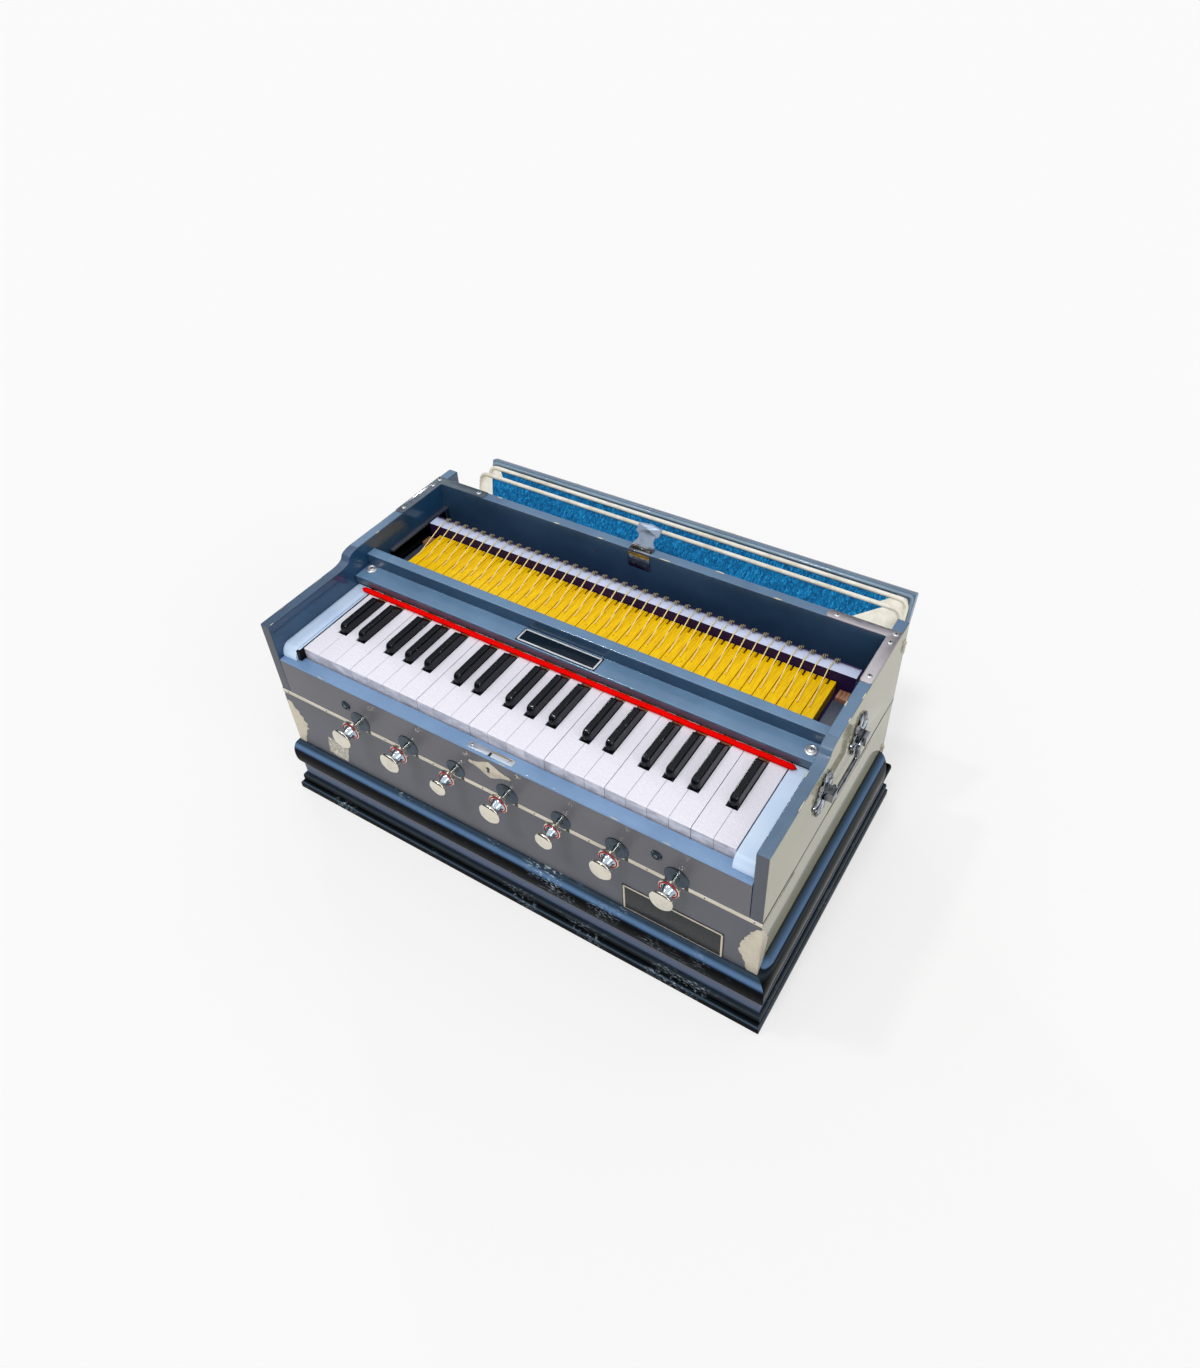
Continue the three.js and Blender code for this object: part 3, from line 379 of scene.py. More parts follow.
# %% [markdown]
# ## Keys
# The white keys are topped with ivory-coloured celluloid, which looks like fine paper because it is
# pressed in thin layers; its cut front edge is clearer and greyer. The black keys are cast resin, polished
# until they mirror the lamps; the small pale specks on them are painted glints.

# %% Key finishes
ivory_top, tree, surface, place = new_finish("ivory_celluloid")
fibres = clouds(tree, place, 2.6, detail=6, roughness=0.7)
layers = clouds(tree, place, 14, stretch=(1, 3, 1), detail=3)
paper = lay_over(tree, "#E0DEEA", "#EDECF6", fibres, 0.38, 0.64)
paper = lay_over(tree, paper, "#E6E3EE", layers, 0.35, 0.7, 0.4)
feed(tree, surface, {"Base Color": paper, "Roughness": 0.3, "Specular IOR Level": 0.3})
raise_surface(tree, surface, layers, 0.03, 0.15)

ivory_edge = mottled("ivory_celluloid_cut_edge", "#A9A8B4", "#E2E0E8", 9, (0.35, 0.68), 0.3, (0.1, 0.3),
                     stretch=(2, 1, 1), detail=6, roughness=0.65)

ebony_resin, tree, surface, place = new_finish("black_cast_resin")
polish = clouds(tree, place, 3, stretch=(1, 6, 1), detail=4)
# Pale specks laid on the resin are painted glints.
glint_specks = clouds(tree, place, 1.6, stretch=(1, 2.5, 1), detail=2)
resin = lay_over(tree, "#04090F", "#0A1420", polish, 0.5, 0.75)
resin = lay_over(tree, resin, "#B9B38E", glint_specks, 0.7, 0.74, 0.5)
feed(tree, surface, {"Base Color": resin, "Specular IOR Level": 0.3})
wandering_gloss(tree, surface, polish, 0.4, 0.7, 0.06, 0.14)
raise_surface(tree, surface, polish, 0.03, 0.2)
print("key finishes: 3")

# %% [markdown]
# ## Pallets and bare wood
# The pallets behind the keys are painted yellow with a brush, and their paint is stained brown in places.
# The levers and the boards inside are planed softwood, paler and darker along the grain; one small block is
# oiled hardwood. Where paint has chipped off, its cream primer shows.

# %% Wood finishes
pallet_enamel, tree, surface, place = new_finish("yellow_brushed_enamel")
strokes = clouds(tree, place, 1.4, stretch=(1, 14, 3), detail=5)
stains = clouds(tree, place, 4.5, stretch=(1, 1.6, 1), detail=5, roughness=0.6)
yellow = lay_over(tree, "#E6B200", "#F8D000", strokes, 0.35, 0.68)
yellow = lay_over(tree, yellow, "#A87400", stains, 0.62, 0.72, 0.6)
feed(tree, surface, {"Base Color": yellow, "Specular IOR Level": 0.2})
wandering_gloss(tree, surface, strokes, 0.35, 0.7, 0.25, 0.45)
raise_surface(tree, surface, strokes, 0.2, 0.5)

bare_wood, tree, surface, place = new_finish("planed_softwood")
grain = clouds(tree, place, 2.4, stretch=(1, 20, 1), detail=5)
rings = clouds(tree, place, 16, stretch=(1, 12, 1), detail=2)
wood = lay_over(tree, "#B08A58", "#CDAA78", rings, 0.35, 0.65)
wood = lay_over(tree, wood, "#8A6438", grain, 0.5, 0.7, 0.5)
feed(tree, surface, {"Base Color": wood, "Roughness": 0.65})
raise_surface(tree, surface, grain, 0.1, 0.4)

dark_wood = mottled("oiled_hardwood", "#A8785A", "#6E4630", 1.8, (0.4, 0.7), 0.5, (0.1, 0.4),
                    stretch=(1, 12, 1), detail=4)
primer = mottled("cream_primer", "#DDD2A8", "#B9B6AE", 1.2, (0.4, 0.65), 0.5, (0.1, 0.4), detail=4)
print("wood finishes: 4")

# %% [markdown]
# ## Metals
# The stops and the handles are chromed, the latch is polished steel, the springs are tinned brass wire,
# and the corner brackets are aluminium sheet with a rolled grain. A metal is described by its colour, its
# roughness and the direction of its fine scratches. The springs are pale at their arms and painted dark at
# their coils, as painted shade in the turns, so their colour follows how far back they are.

# %% Metal finishes
def bare_metal(name, colour, dark, roughness, along=(8, 1, 1), relief=0.02, grime_and_dark_reflection=0.3, bare=1.0):
    """Metal with fine scratches one way and darker patches, which are a little dirt and, on the dark chrome,
    painted dark reflections; less bare where it is lacquered.
    """
    finish, tree, surface, place = new_finish(name)
    scratches = clouds(tree, place, 1.0, stretch=along, detail=4)
    tarnish_and_dark_reflection = clouds(tree, place, 12, detail=5)
    base = lay_over(tree, colour, dark, tarnish_and_dark_reflection, 0.5, 0.72, grime_and_dark_reflection)
    wandering_gloss(tree, surface, scratches, 0.3, 0.75, roughness * 0.7, roughness * 1.6)
    feed(tree, surface, {"Base Color": base, "Metallic": bare})
    raise_surface(tree, surface, scratches, relief, 0.4)
    return finish


chrome_plate = bare_metal("chrome_plate", "#F2ECDC", "#A5A29A", 0.05, relief=0.005)
neck_chrome = bare_metal("neck_chrome", "#C2D0DE", "#5A6670", 0.04, relief=0.005)
worn_nickel_and_highlight = bare_metal("worn_nickel_and_highlight", "#DADBDE", "#A4A6AA", 0.45, relief=0.005)
polished_steel = bare_metal("polished_steel", "#A4B2C6", "#6C7888", 0.5, relief=0.003, grime_and_dark_reflection=0.4)
# The dark chrome is mostly dark patches: painted reflection of a dark room, on the bail, scrolls, bosses and
# latch.
dark_chrome = bare_metal("chrome_with_painted_dark_reflections", "#9EA2A8", "#1E2024", 0.13, grime_and_dark_reflection=0.85)
aluminium = bare_metal("rolled_aluminium", "#D0CAD0", "#A59FA8", 0.38, relief=0.004, grime_and_dark_reflection=0.12)
guard_foil = bare_metal("cream_nickel_foil", "#D2C9B6", "#ABA28F", 0.34, grime_and_dark_reflection=0.5, bare=0.35)
plate_metal = bare_metal("brushed_nickel_plate", "#CDD4DE", "#8C929C", 0.36, along=(14, 1, 1), relief=0.005)
brass_sheet = bare_metal("brass_sheet", "#B08A3E", "#6B5020", 0.3)
blued_steel_and_shade = bare_metal("blued_steel_and_shade", "#4A5764", "#252D36", 0.28, grime_and_dark_reflection=0.6)
silvered_rim = bare_metal("silvered_rim", "#E4E8EC", "#9CA2A8", 0.4, relief=0.005, grime_and_dark_reflection=0.5, bare=0.3)
# Dark iron: real japanned parts, and dark pieces that paint shade in slots, holes, gaps and under the
# castings.
dark_iron_and_shade = mottled("japanned_iron_and_painted_shade", "#0B0C0E", "#23262A", 2.5, (0.4, 0.7), 0.35, (0.2, 0.4), detail=4)

spring_brass, tree, surface, place = new_finish("tinned_spring_brass")
depth = add_node(tree, "ShaderNodeSeparateXYZ", {"Vector": place}).outputs["Y"]
# Pale at the arms, dark at the coils: the coils' dark is painted shade in the turns.
wire = lay_over(tree, "#F2DC96", "#8C8468", depth, FRONT + 0.256, FRONT + 0.266)
feed(tree, surface, {"Base Color": wire, "Roughness": 0.5})
print("metals: 13")

# %% [markdown]
# ## Cloth, leather and felt
# The bellows are covered with a short-piled blue cloth, bound with cream skiver leather along the folds.
# The pile stands in short crimped tufts about 3 mm apart; the dark between them is painted shade and their
# bright tips are painted highlights, and broad darker streaks over the cloth are painted shade too. Red wool
# felt keeps the keys quiet where they rise against the name board, and a darker one lies in the stops.

# %% Cloth and leather
pile_cloth, tree, surface, place = new_finish("blue_pile_cloth")
crimp = add_node(tree, "ShaderNodeMapping", {"Vector": place, "Scale": (1.5, 0.62, 0.62)}).outputs[0]
tufts = add_node(tree, "ShaderNodeTexNoise", {"Vector": crimp, "Scale": 1 / (3.1 * MM), "Detail": 2.5,
                 "Distortion": 1.1}).outputs["Fac"]
shading = clouds(tree, place, 34, stretch=(3, 1, 1), detail=3)
# Dark between the tufts and bright at their tips: painted shade and painted highlight; the broad streaks are
# painted shade.
blue = lay_over(tree, "#0A4A78", "#1A88C4", tufts, 0.4, 0.62)
blue = lay_over(tree, blue, "#0A5688", shading, 0.35, 0.65, 0.45)
blue = lay_over(tree, blue, "#46AEE0", tufts, 0.6, 0.7, 0.5)
feed(tree, surface, {"Base Color": blue, "Roughness": 0.9, "Specular IOR Level": 0.1, "Sheen Weight": 0.06,
                     "Sheen Roughness": 0.4, "Sheen Tint": srgb("#6CB4E0")})
raise_surface(tree, surface, tufts, 1.6, 0.8)

skiver, tree, surface, place = new_finish("cream_skiver_leather")
pores = add_node(tree, "ShaderNodeTexVoronoi", {"Vector": place, "Scale": 1 / (1.1 * MM)}
                 ).outputs["Distance"]
hide = lay_over(tree, "#EAE6DA", "#D2CCBA", clouds(tree, place, 18, detail=5), 0.4, 0.68)
feed(tree, surface, {"Base Color": hide, "Roughness": 0.55})
raise_surface(tree, surface, pores, 0.12, 0.4)
print("bellows finishes: 2")

# %% Felt, strip and paper
red_felt = mottled("red_wool_felt", "#D80000", "#FF0C04", 1.2, (0.35, 0.7), 0.95, (0.4, 0.6), detail=5,
                   roughness=0.7)
red_felt.node_tree.nodes["Principled BSDF"].inputs["Specular IOR Level"].default_value = 0.05
ring_felt = mottled("dark_red_felt", "#8E1420", "#C42834", 0.9, (0.35, 0.7), 0.8, None, detail=4)
cream_strip = mottled("cream_celluloid_strip", "#D8D0C0", "#BFB6A4", 10, (0.4, 0.7), 0.4, (0.1, 0.3),
                      stretch=(4, 4, 1), detail=5)
bare_paper = mottled("worn_paper", "#8C887E", "#D9D4C6", 2.2, (0.42, 0.6), 0.7, (0.1, 0.4), detail=6,
                     roughness=0.75)
print("finishes in all:", len(bpy.data.materials))

# %% [markdown]
# ## Making pieces
# A piece is drawn as a bmesh, gets its finishes, and rides on the body that carries it. Three ways of
# making one come back again and again: a copy of a CAD node with its hard edges eased, a turned shape from
# a profile, and a slab cut from an outline.

# %% From a bmesh to a piece
def made_object(name, mesh, finishes, sharp):
    """Make a bmesh an object with its finishes, smooth but for edges over an angle in degrees."""
    data = bpy.data.meshes.new(name)
    mesh.to_mesh(data)
    mesh.free()
    piece = bpy.data.objects.new(name, data)
    bpy.context.scene.collection.objects.link(piece)
    for finish in finishes:
        data.materials.append(finish)
    data.polygons.foreach_set("use_smooth", [True] * len(data.polygons))
    data.set_sharp_from_angle(angle=math.radians(sharp))
    return piece


def set_down(name, mesh, body, finishes, sharp=35):
    """Make a bmesh a finished piece that rides on a body."""
    piece = made_object(name, mesh, finishes, sharp)
    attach(piece, body)
    return piece


print("a bmesh can become a piece")

# %% A dressed copy of a node
MERGE, FLAT = 1e-6, math.radians(0.6)


def eased_copy(node, ease_mm, rules, segments=2, hard=28, where=None, reshape=None, added=None):
    """A copy of a CAD node with eased edges, which stands for it. Each rule is a finish and a test of a
    face's middle, in maker's millimetres, and its normal; the first that holds gives the finish. A
    'reshape' may move the copy's points first, and 'added' may draw more on the copy afterwards."""
    source = frame["nodes"][node]
    mesh = bmesh.new()
    mesh.from_mesh(source.data)
    bmesh.ops.remove_doubles(mesh, verts=mesh.verts, dist=MERGE)
    bmesh.ops.dissolve_limit(mesh, angle_limit=FLAT, verts=mesh.verts, edges=mesh.edges)
    if reshape:
        reshape(mesh)
    edges = [e for e in mesh.edges if len(e.link_faces) == 2
             and e.calc_face_angle(0) > math.radians(hard)
             and (where is None or all(where(maker(v.co)) for v in e.verts))]
    bmesh.ops.bevel(mesh, geom=edges, offset=ease_mm * MM, offset_type="OFFSET", affect="EDGES",
                    segments=segments, profile=0.5, material=-1, clamp_overlap=True)
    bmesh.ops.recalc_face_normals(mesh, faces=mesh.faces)
    if added:
        added(mesh)
    for face in mesh.faces:
        middle, normal = maker(face.calc_center_median()), face.normal
        face.material_index = next((i for i, (_, test) in enumerate(rules) if test(middle, normal)), 0)
    body = source["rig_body"]
    piece = set_down(node + "_dressed", mesh, body, [finish for finish, _ in rules])
    shading = piece.modifiers.new("even shading", "WEIGHTED_NORMAL")
    shading.keep_sharp = True
    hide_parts(node)
    return piece


print("a node can be dressed")

# %% Turned shapes, slabs and wires
def placed(mesh, before, place, across=ACROSS, up=BACK):
    """Move what was drawn since 'before' from the drawing table, seen from above, to its place: its
    right-hand way goes along 'across' and its upward way along 'up'."""
    made = [v for v in mesh.verts if v not in before]
    axes = Matrix((across, up, across.cross(up))).transposed().to_4x4()
    bmesh.ops.transform(mesh, matrix=Matrix.Translation(place) @ axes, verts=made)
    return made


def turned(mesh, profile, place, across=ACROSS, up=BACK, steps=32, material=0):
    """Spin a profile of (radius, height) points in millimetres about the way that faces the viewer."""
    before, old_faces = set(mesh.verts), set(mesh.faces)
    points = [mesh.verts.new((radius * MM, 0, high * MM)) for radius, high in profile]
    edges = [mesh.edges.new(pair) for pair in zip(points, points[1:])]
    bmesh.ops.spin(mesh, geom=points + edges, cent=(0, 0, 0), axis=(0, 0, 1), angle=2 * math.pi,
                   steps=steps, use_merge=True)
    made = [v for v in mesh.verts if v not in before]
    bmesh.ops.remove_doubles(mesh, verts=made, dist=MERGE)
    faces = [f for f in mesh.faces if f not in old_faces]
    bmesh.ops.recalc_face_normals(mesh, faces=faces)
    for face in faces:
        face.material_index = material
    placed(mesh, before, place, across, up)
    return faces


def slab(mesh, outline, thick_mm, place, across=ACROSS, up=BACK, ease_mm=0.2, material=0, segments=2):
    """Cut a slab from an outline in millimetres, ease its upper edges and put it in its place."""
    before, old_faces = set(mesh.verts), set(mesh.faces)
    corners = [mesh.verts.new((x * MM, y * MM, 0)) for x, y in outline]
    base = mesh.faces.new(corners)
    raised = bmesh.ops.extrude_face_region(mesh, geom=[base], use_keep_orig=True)["geom"]
    lifted = [g for g in raised if isinstance(g, bmesh.types.BMVert)]
    bmesh.ops.translate(mesh, verts=lifted, vec=(0, 0, thick_mm * MM))
    lid_edges = [e for e in mesh.edges if e.verts[0] in lifted and e.verts[1] in lifted]
    if ease_mm:
        bmesh.ops.bevel(mesh, geom=lid_edges, offset=ease_mm * MM, offset_type="OFFSET",
                        affect="EDGES", segments=segments, profile=0.5, material=-1,
                        clamp_overlap=True)
    faces = [f for f in mesh.faces if f not in old_faces]
    bmesh.ops.recalc_face_normals(mesh, faces=faces)
    for face in faces:
        face.material_index = material
    placed(mesh, before, place, across, up)
    return faces


def oblong(wide, tall, corner=0.0, steps=4):
    """The outline of a rectangle about the middle, with rounded corners."""
    if not corner:
        return [(-wide / 2, -tall / 2), (wide / 2, -tall / 2), (wide / 2, tall / 2), (-wide / 2, tall / 2)]
    outline = []
    for sx, sy, start in ((1, -1, -90), (1, 1, 0), (-1, 1, 90), (-1, -1, 180)):
        for step in range(steps + 1):
            angle = math.radians(start + 90 * step / steps)
            outline.append((sx * (wide / 2 - corner) + corner * math.cos(angle),
                            sy * (tall / 2 - corner) + corner * math.sin(angle)))
    return outline


def wires(name, routes, radius_mm, body, finish, rounds=2):
    """Round wires along lists of frame points: a bevelled curve, made a mesh."""
    line = bpy.data.curves.new(name, "CURVE")
    line.dimensions, line.twist_mode = "3D", "MINIMUM"
    line.bevel_depth, line.bevel_resolution, line.use_fill_caps = radius_mm * MM, rounds, True
    for route in routes:
        spline = line.splines.new("POLY")
        spline.points.add(len(route) - 1)
        for point, place in zip(spline.points, route):
            point.co = (*place, 1)
    holder = bpy.data.objects.new(name + "_line", line)
    bpy.context.scene.collection.objects.link(holder)
    bpy.context.view_layer.update()
    seen = holder.evaluated_get(bpy.context.evaluated_depsgraph_get())
    data = bpy.data.meshes.new_from_object(seen)
    mesh = bmesh.new()
    mesh.from_mesh(data)
    bpy.data.objects.remove(holder)
    bpy.data.curves.remove(line)
    bpy.data.meshes.remove(data)
    bmesh.ops.remove_doubles(mesh, verts=mesh.verts, dist=1e-7)
    bmesh.ops.recalc_face_normals(mesh, faces=mesh.faces)
    return set_down(name, mesh, body, [finish], sharp=50)


print("shapes can be turned, cut and bent from wire")

# %% [markdown]
# ## The case
# The lower and upper case are the CAD solids with their edges eased, because a painted board is never
# sharp. Each face takes the finish of its side: laminate outside, enamel on edges and inside. A test of a
# place stands a little off the face that it means, so that rounding can't turn it over.

# %% Case
CASE_HALF, CASE_DEPTH = 305, 332
INNER_HALF, INNER_FRONT, INNER_REAR = 292.5, 11, 300
lower_case = eased_copy("lower_case", 0.9, [
    (low_laminate, lambda p, n: n.y < -0.7 and p.y < 2),
    (side_laminate, lambda p, n: abs(n.x) > 0.7 and abs(p.x) > CASE_HALF - 2),
    (edge_enamel, lambda p, n: p.y > INNER_REAR or n.z > 0.7),
    (bare_wood, lambda p, n: abs(p.x) < INNER_HALF and INNER_FRONT < p.y < INNER_REAR),
    (edge_enamel, lambda p, n: True),
])


PLATE_BACK, PLATE_FACE = 305.2, 307.9
PLATES_Y, PLATES_Z = (60, 262), (190, 266)


def sink_plates(mesh):
    """Lay the frame's handle plates flat in the side: the open castings drawn later stand for them."""
    for vert in mesh.verts:
        place = maker(vert.co)
        if PLATE_BACK < abs(place.x) < PLATE_FACE:
            vert.co = at(math.copysign(CASE_HALF, place.x), place.y, place.z)
    bmesh.ops.remove_doubles(mesh, verts=mesh.verts, dist=MERGE)
    bmesh.ops.dissolve_degenerate(mesh, edges=mesh.edges, dist=MERGE / 10)
    bmesh.ops.dissolve_limit(mesh, angle_limit=FLAT, verts=mesh.verts, edges=mesh.edges)


def off_the_handles(p):
    """Whether a place is away from the handles' bosses."""
    return not (abs(p.x) > CASE_HALF - 0.5 and PLATES_Y[0] < p.y < PLATES_Y[1]
                and PLATES_Z[0] < p.z < PLATES_Z[1])


WELL_FRONT, WELL_REAR, EDGES_FROM = 170, 313, 200
upper_case = eased_copy("upper_case", 1.0, [
    (dark_chrome, lambda p, n: abs(p.x) > PLATE_BACK and not off_the_handles(p)),
    (side_laminate, lambda p, n: abs(n.x) > 0.8 and abs(p.x) > CASE_HALF - 1 or abs(p.x) > CASE_HALF + 0.1),
    (cheek_laminate, lambda p, n: n.y < -0.8 and p.y < 2),
    # Inside the well the faces are painted navy as painted shade; in front of it they are deep blue.
    (shaded_navy_enamel, lambda p, n: abs(p.x) < INNER_HALF and WELL_FRONT < p.y < WELL_REAR and n.z < 0.6),
    (inner_enamel, lambda p, n: abs(p.x) < INNER_HALF and p.y < WELL_FRONT and n.z < 0.6),
    (shaded_left_cheek_enamel, lambda p, n: p.x < 1 - INNER_HALF and p.z > EDGES_FROM),
    (cheek_enamel, lambda p, n: abs(p.x) > INNER_HALF - 1 and p.z > EDGES_FROM),
    (edge_enamel, lambda p, n: True),
], where=off_the_handles, reshape=sink_plates)

eased_copy("front_rail", 0.8, [
    (front_laminate, lambda p, n: n.y < -0.8),
    (rail_enamel, lambda p, n: n.z > 0.05 or p.y < 4),
    (edge_enamel, lambda p, n: True),
])
print("case:", len(lower_case.data.polygons), len(upper_case.data.polygons), "faces")

# %% [markdown]
# ## Plinth
# The plinth moulding was run along a board with a cutter: foot, bead, hollow and torus. A ring of edges is
# carried from level to level of the profile, with finer steps than the frame's, so that the rounds catch
# one long highlight each. A half-round roll covers the joint between the moulding and the case; it is fuller
# at the right side, where the case stands a little off the plinth's middle.

# %% Arcs and rings
def arc(centre, radii, start, end, steps):
    """Points along an arc, as (out, height) in millimetres."""
    return [(centre[0] + radii[0] * math.cos(math.radians(start + (end - start) * i / steps)),
             centre[1] + radii[1] * math.sin(math.radians(start + (end - start) * i / steps)))
            for i in range(steps + 1)]


def ring_stack(mesh, rings, finish_of=None):
    """Carry a closed ring of edges through rings of frame points, and close both ends."""
    old_faces = set(mesh.faces)
    current = [mesh.verts.new(p) for p in rings[0]]
    first = list(current)
    edges = [mesh.edges.new((a, b)) for a, b in zip(current, current[1:] + current[:1])]
    for index, ring in enumerate(rings[1:]):
        made = bmesh.ops.extrude_edge_only(mesh, edges=edges)["geom"]
        faces = [g for g in made if isinstance(g, bmesh.types.BMFace)]
        following = []
        for vert in current:
            link = next(e for e in vert.link_edges for f in e.link_faces
                        if f in faces and e.other_vert(vert) not in current)
            following.append(link.other_vert(vert))
        for vert, point in zip(following, ring):
            vert.co = point
        for face in faces:
            face.material_index = finish_of(index) if finish_of else 0
        current = following
        edges = [mesh.edges.get((a, b)) for a, b in zip(current, current[1:] + current[:1])]
    for cap in (first, current):
        mesh.faces.new(cap).material_index = finish_of(-1) if finish_of else 0
    bmesh.ops.recalc_face_normals(mesh, faces=[f for f in mesh.faces if f not in old_faces])


print("arcs and rings ready")

# %% Plinth
FOOT, TORUS, HOLLOW, INSIDE = range(4)
members = [
    ([(12.8, 0.0)], FOOT),
    (arc((9.8, 7), (3, 3), 0, 90, 6), FOOT),
    (arc((7, 16.5), (1.8, 6.5), -90, 90, 8), FOOT),
    ([(4, 23), (4, 43)], HOLLOW),
    (arc((3, 52.5), (5, 9.5), -90, 90, 14), TORUS),
    ([(0, 62), (0, 66.5), (-1.5, 66.5)], TORUS),
    ([(-26, 66.5), (-26, 12)], INSIDE),
]
profile = [(out, high, kind) for points, kind in members for out, high in points]
BEAD_MORE, HOLLOW_MORE = 2.6, 4.2
BEAD_OUT = 9


def side_out(side, out, kind):
    """How far the moulding stands out at a side: at the right its bead, hollow and torus are fuller."""
    if side < 0:
        return out
    if kind == FOOT:
        return out + BEAD_MORE if out < BEAD_OUT else out
    return out + HOLLOW_MORE if kind != INSIDE and out > 0 else out


outlines = []
for out, high, kind in profile:
    front_y, rear_y = -out, CASE_DEPTH + out
    outlines.append([at(side * (CASE_HALF + side_out(side, out, kind)), y, high)
                     for side, y in ((-1, front_y), (1, front_y), (1, rear_y), (-1, rear_y))])


def member_of(index):
    """The finish of the band that ends at the next level of the profile."""
    return profile[index + 1][2] if index >= 0 else INSIDE


mesh = bmesh.new()
ring_stack(mesh, outlines, member_of)
plinth = set_down("plinth_moulding", mesh, "case", [foot_lacquer, torus_lacquer, hollow_lacquer, bare_wood],
                  sharp=32)
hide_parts("plinth")
print("plinth:", len(plinth.data.polygons), "faces")

# %% Roll over the joint
front_roll = arc((0, 60), (8.8, 24), 90, -25, 18) + [(-0.6, 49.9), (-0.6, 84)]
side_roll = arc((0, 66), (12.5, 34), 90, -25, 18) + [(-0.6, 51.6), (-0.6, 100)]
ROLL_END, MITRE = 315, 16


def roll_ring(side, y):
    """One ring of the roll on a side of the case, at a place along it; with no y it is the front corner."""
    full = side_roll if side > 0 else front_roll
    if y is None:
        return [at(side * (CASE_HALF + wide), -out, high) for (out, high), (wide, _) in zip(front_roll, full)]
    return [at(side * (CASE_HALF + out), y, high) for out, high in full]


rings = [roll_ring(-1, y) for y in (ROLL_END, MITRE, None)]
rings += [roll_ring(1, y) for y in (None, MITRE, ROLL_END)]
FRONT_CORNER = 2
mesh = bmesh.new()
ring_stack(mesh, rings, lambda index: 1 if index > FRONT_CORNER or index < 0 else 0)
roll = set_down("plinth_roll", mesh, "case", [front_roll_lacquer, side_roll_lacquer], sharp=40)
print("roll:", len(roll.data.polygons), "faces")

# %% [markdown]
# ## Boards over and under the keys
# The name board, the spring rail and the sound board with its end blocks are the CAD solids, eased and
# painted. The blocks beside the keys have a round nose and a softer edge than the board that they stand on.

# %% Boards
NAME_TOP = 250.8
name_board = eased_copy("name_board", 0.7, [
    # The raised rail's dark front is painted shade.
    (shaded_navy_enamel, lambda p, n: n.y < -0.75 and p.z > NAME_TOP + 0.4),
    # The name board's front is darker than its top: painted shade.
    (board_front_shade_enamel, lambda p, n: n.y < -0.75),
    (board_enamel, lambda p, n: True),
])

spring_rail = eased_copy("spring_rail", 0.5, [
    # The rail's front is its own dark purple, partly painted shade.
    (shadow_enamel, lambda p, n: n.y < -0.75),
    (lavender_enamel, lambda p, n: True),
])

NOSE_RUN, NOSE_SHARE = 14, 0.68
NOSE_END = maker(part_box("reed_board")[0]).y + NOSE_RUN
BLOCK_INNER, BLOCK_REAR = 266, 120


def square_nose(mesh):
    """Draw the round noses of the end blocks back, so that they end a little squarer."""
    for vert in mesh.verts:
        place = maker(vert.co)
        if abs(place.x) > BLOCK_INNER and place.z > 221.5 and place.y < NOSE_END:
            vert.co = at(place.x, NOSE_END - (NOSE_END - place.y) * NOSE_SHARE, place.z)


reed_board = eased_copy("reed_board", 1.6, [
    (block_enamel, lambda p, n: abs(p.x) > BLOCK_INNER + 0.5 and p.y < BLOCK_REAR + 15 and p.z > 214.5),
    # The well's floor is painted black-purple: painted shade.
    (shadow_enamel, lambda p, n: p.y > BLOCK_REAR and n.z > 0.5),
    (bare_wood, lambda p, n: True),
], segments=3, reshape=square_nose,
    where=lambda p: abs(p.x) > BLOCK_INNER + 1.4 and p.z > 222 and p.y < BLOCK_REAR)

reservoir_board = eased_copy("reservoir_board", 1.0, [(bare_wood, lambda p, n: True)])
print("boards:", len(name_board.data.polygons), len(spring_rail.data.polygons),
      len(reed_board.data.polygons), len(reservoir_board.data.polygons), "faces")

# %% [markdown]
# ## Keys
# Each key is one lever: the celluloid head in front, the wooden lever in the middle and the yellow pallet
# at its rear. The copies of the CAD keys get filed edges, and the white heads are made a little wider,
# so that the gaps between them close to the width of a card. A black key gets a new sharp over a smaller
# core: rings of edges are carried from its round nose to the felt, because a cast sharp has no flat side
# and no hard edge anywhere.

# %% White heads and pallets
HEAD_REAR, HEAD_MORE = 62, 0.14
SLIT_FROM, SLIT_SIDE, SLIT_HALF, SLIT_MORE = 225, -1.3, 0.65, 0.55


def widen_slit(mesh):
    """Open the slit in the rear end of a pallet, so that it can be seen."""
    rear = [maker(v.co) for v in mesh.verts if maker(v.co).y > SLIT_FROM]
    middle = (min(p.x for p in rear) + max(p.x for p in rear)) / 2 + SLIT_SIDE
    for vert in mesh.verts:
        place = maker(vert.co)
        if place.y > SLIT_FROM and abs(place.x - middle) < SLIT_HALF:
            vert.co = at(place.x + math.copysign(SLIT_MORE, place.x - middle), place.y, place.z)


def widen_head(mesh):
    """Close the gaps between the white heads to a third of a millimetre."""
    widen_slit(mesh)
    for face in mesh.faces:
        middle = maker(face.calc_center_median())
        if abs(face.normal.x) > 0.9 and middle.y < HEAD_REAR:
            bmesh.ops.translate(mesh, verts=face.verts, vec=face.normal * HEAD_MORE * MM)


print("heads wider by", 2 * HEAD_MORE, "mm")

# %% Sharps
NOSE_Y, FELT_Y, SHARP_FOOT, SHARP_TOP, SHARP_NOSE = 57.6, 122.8, 235.4, 247.5, 238.6
NOSE_ROUND, CLIMB_RUN, SLOPE_RUN, SLOPE = 4.6, 7.5, 56.0, 1.05
FOOT_HALF, TOP_HALF, TOP_ROUND = 5.5, 4.2, 1.5
CORE_WIDE_SHARE, CORE_LONG_SHARE, CORE_MIDDLE, CORE_LOW = 0.7, 0.9, 90, 2.5


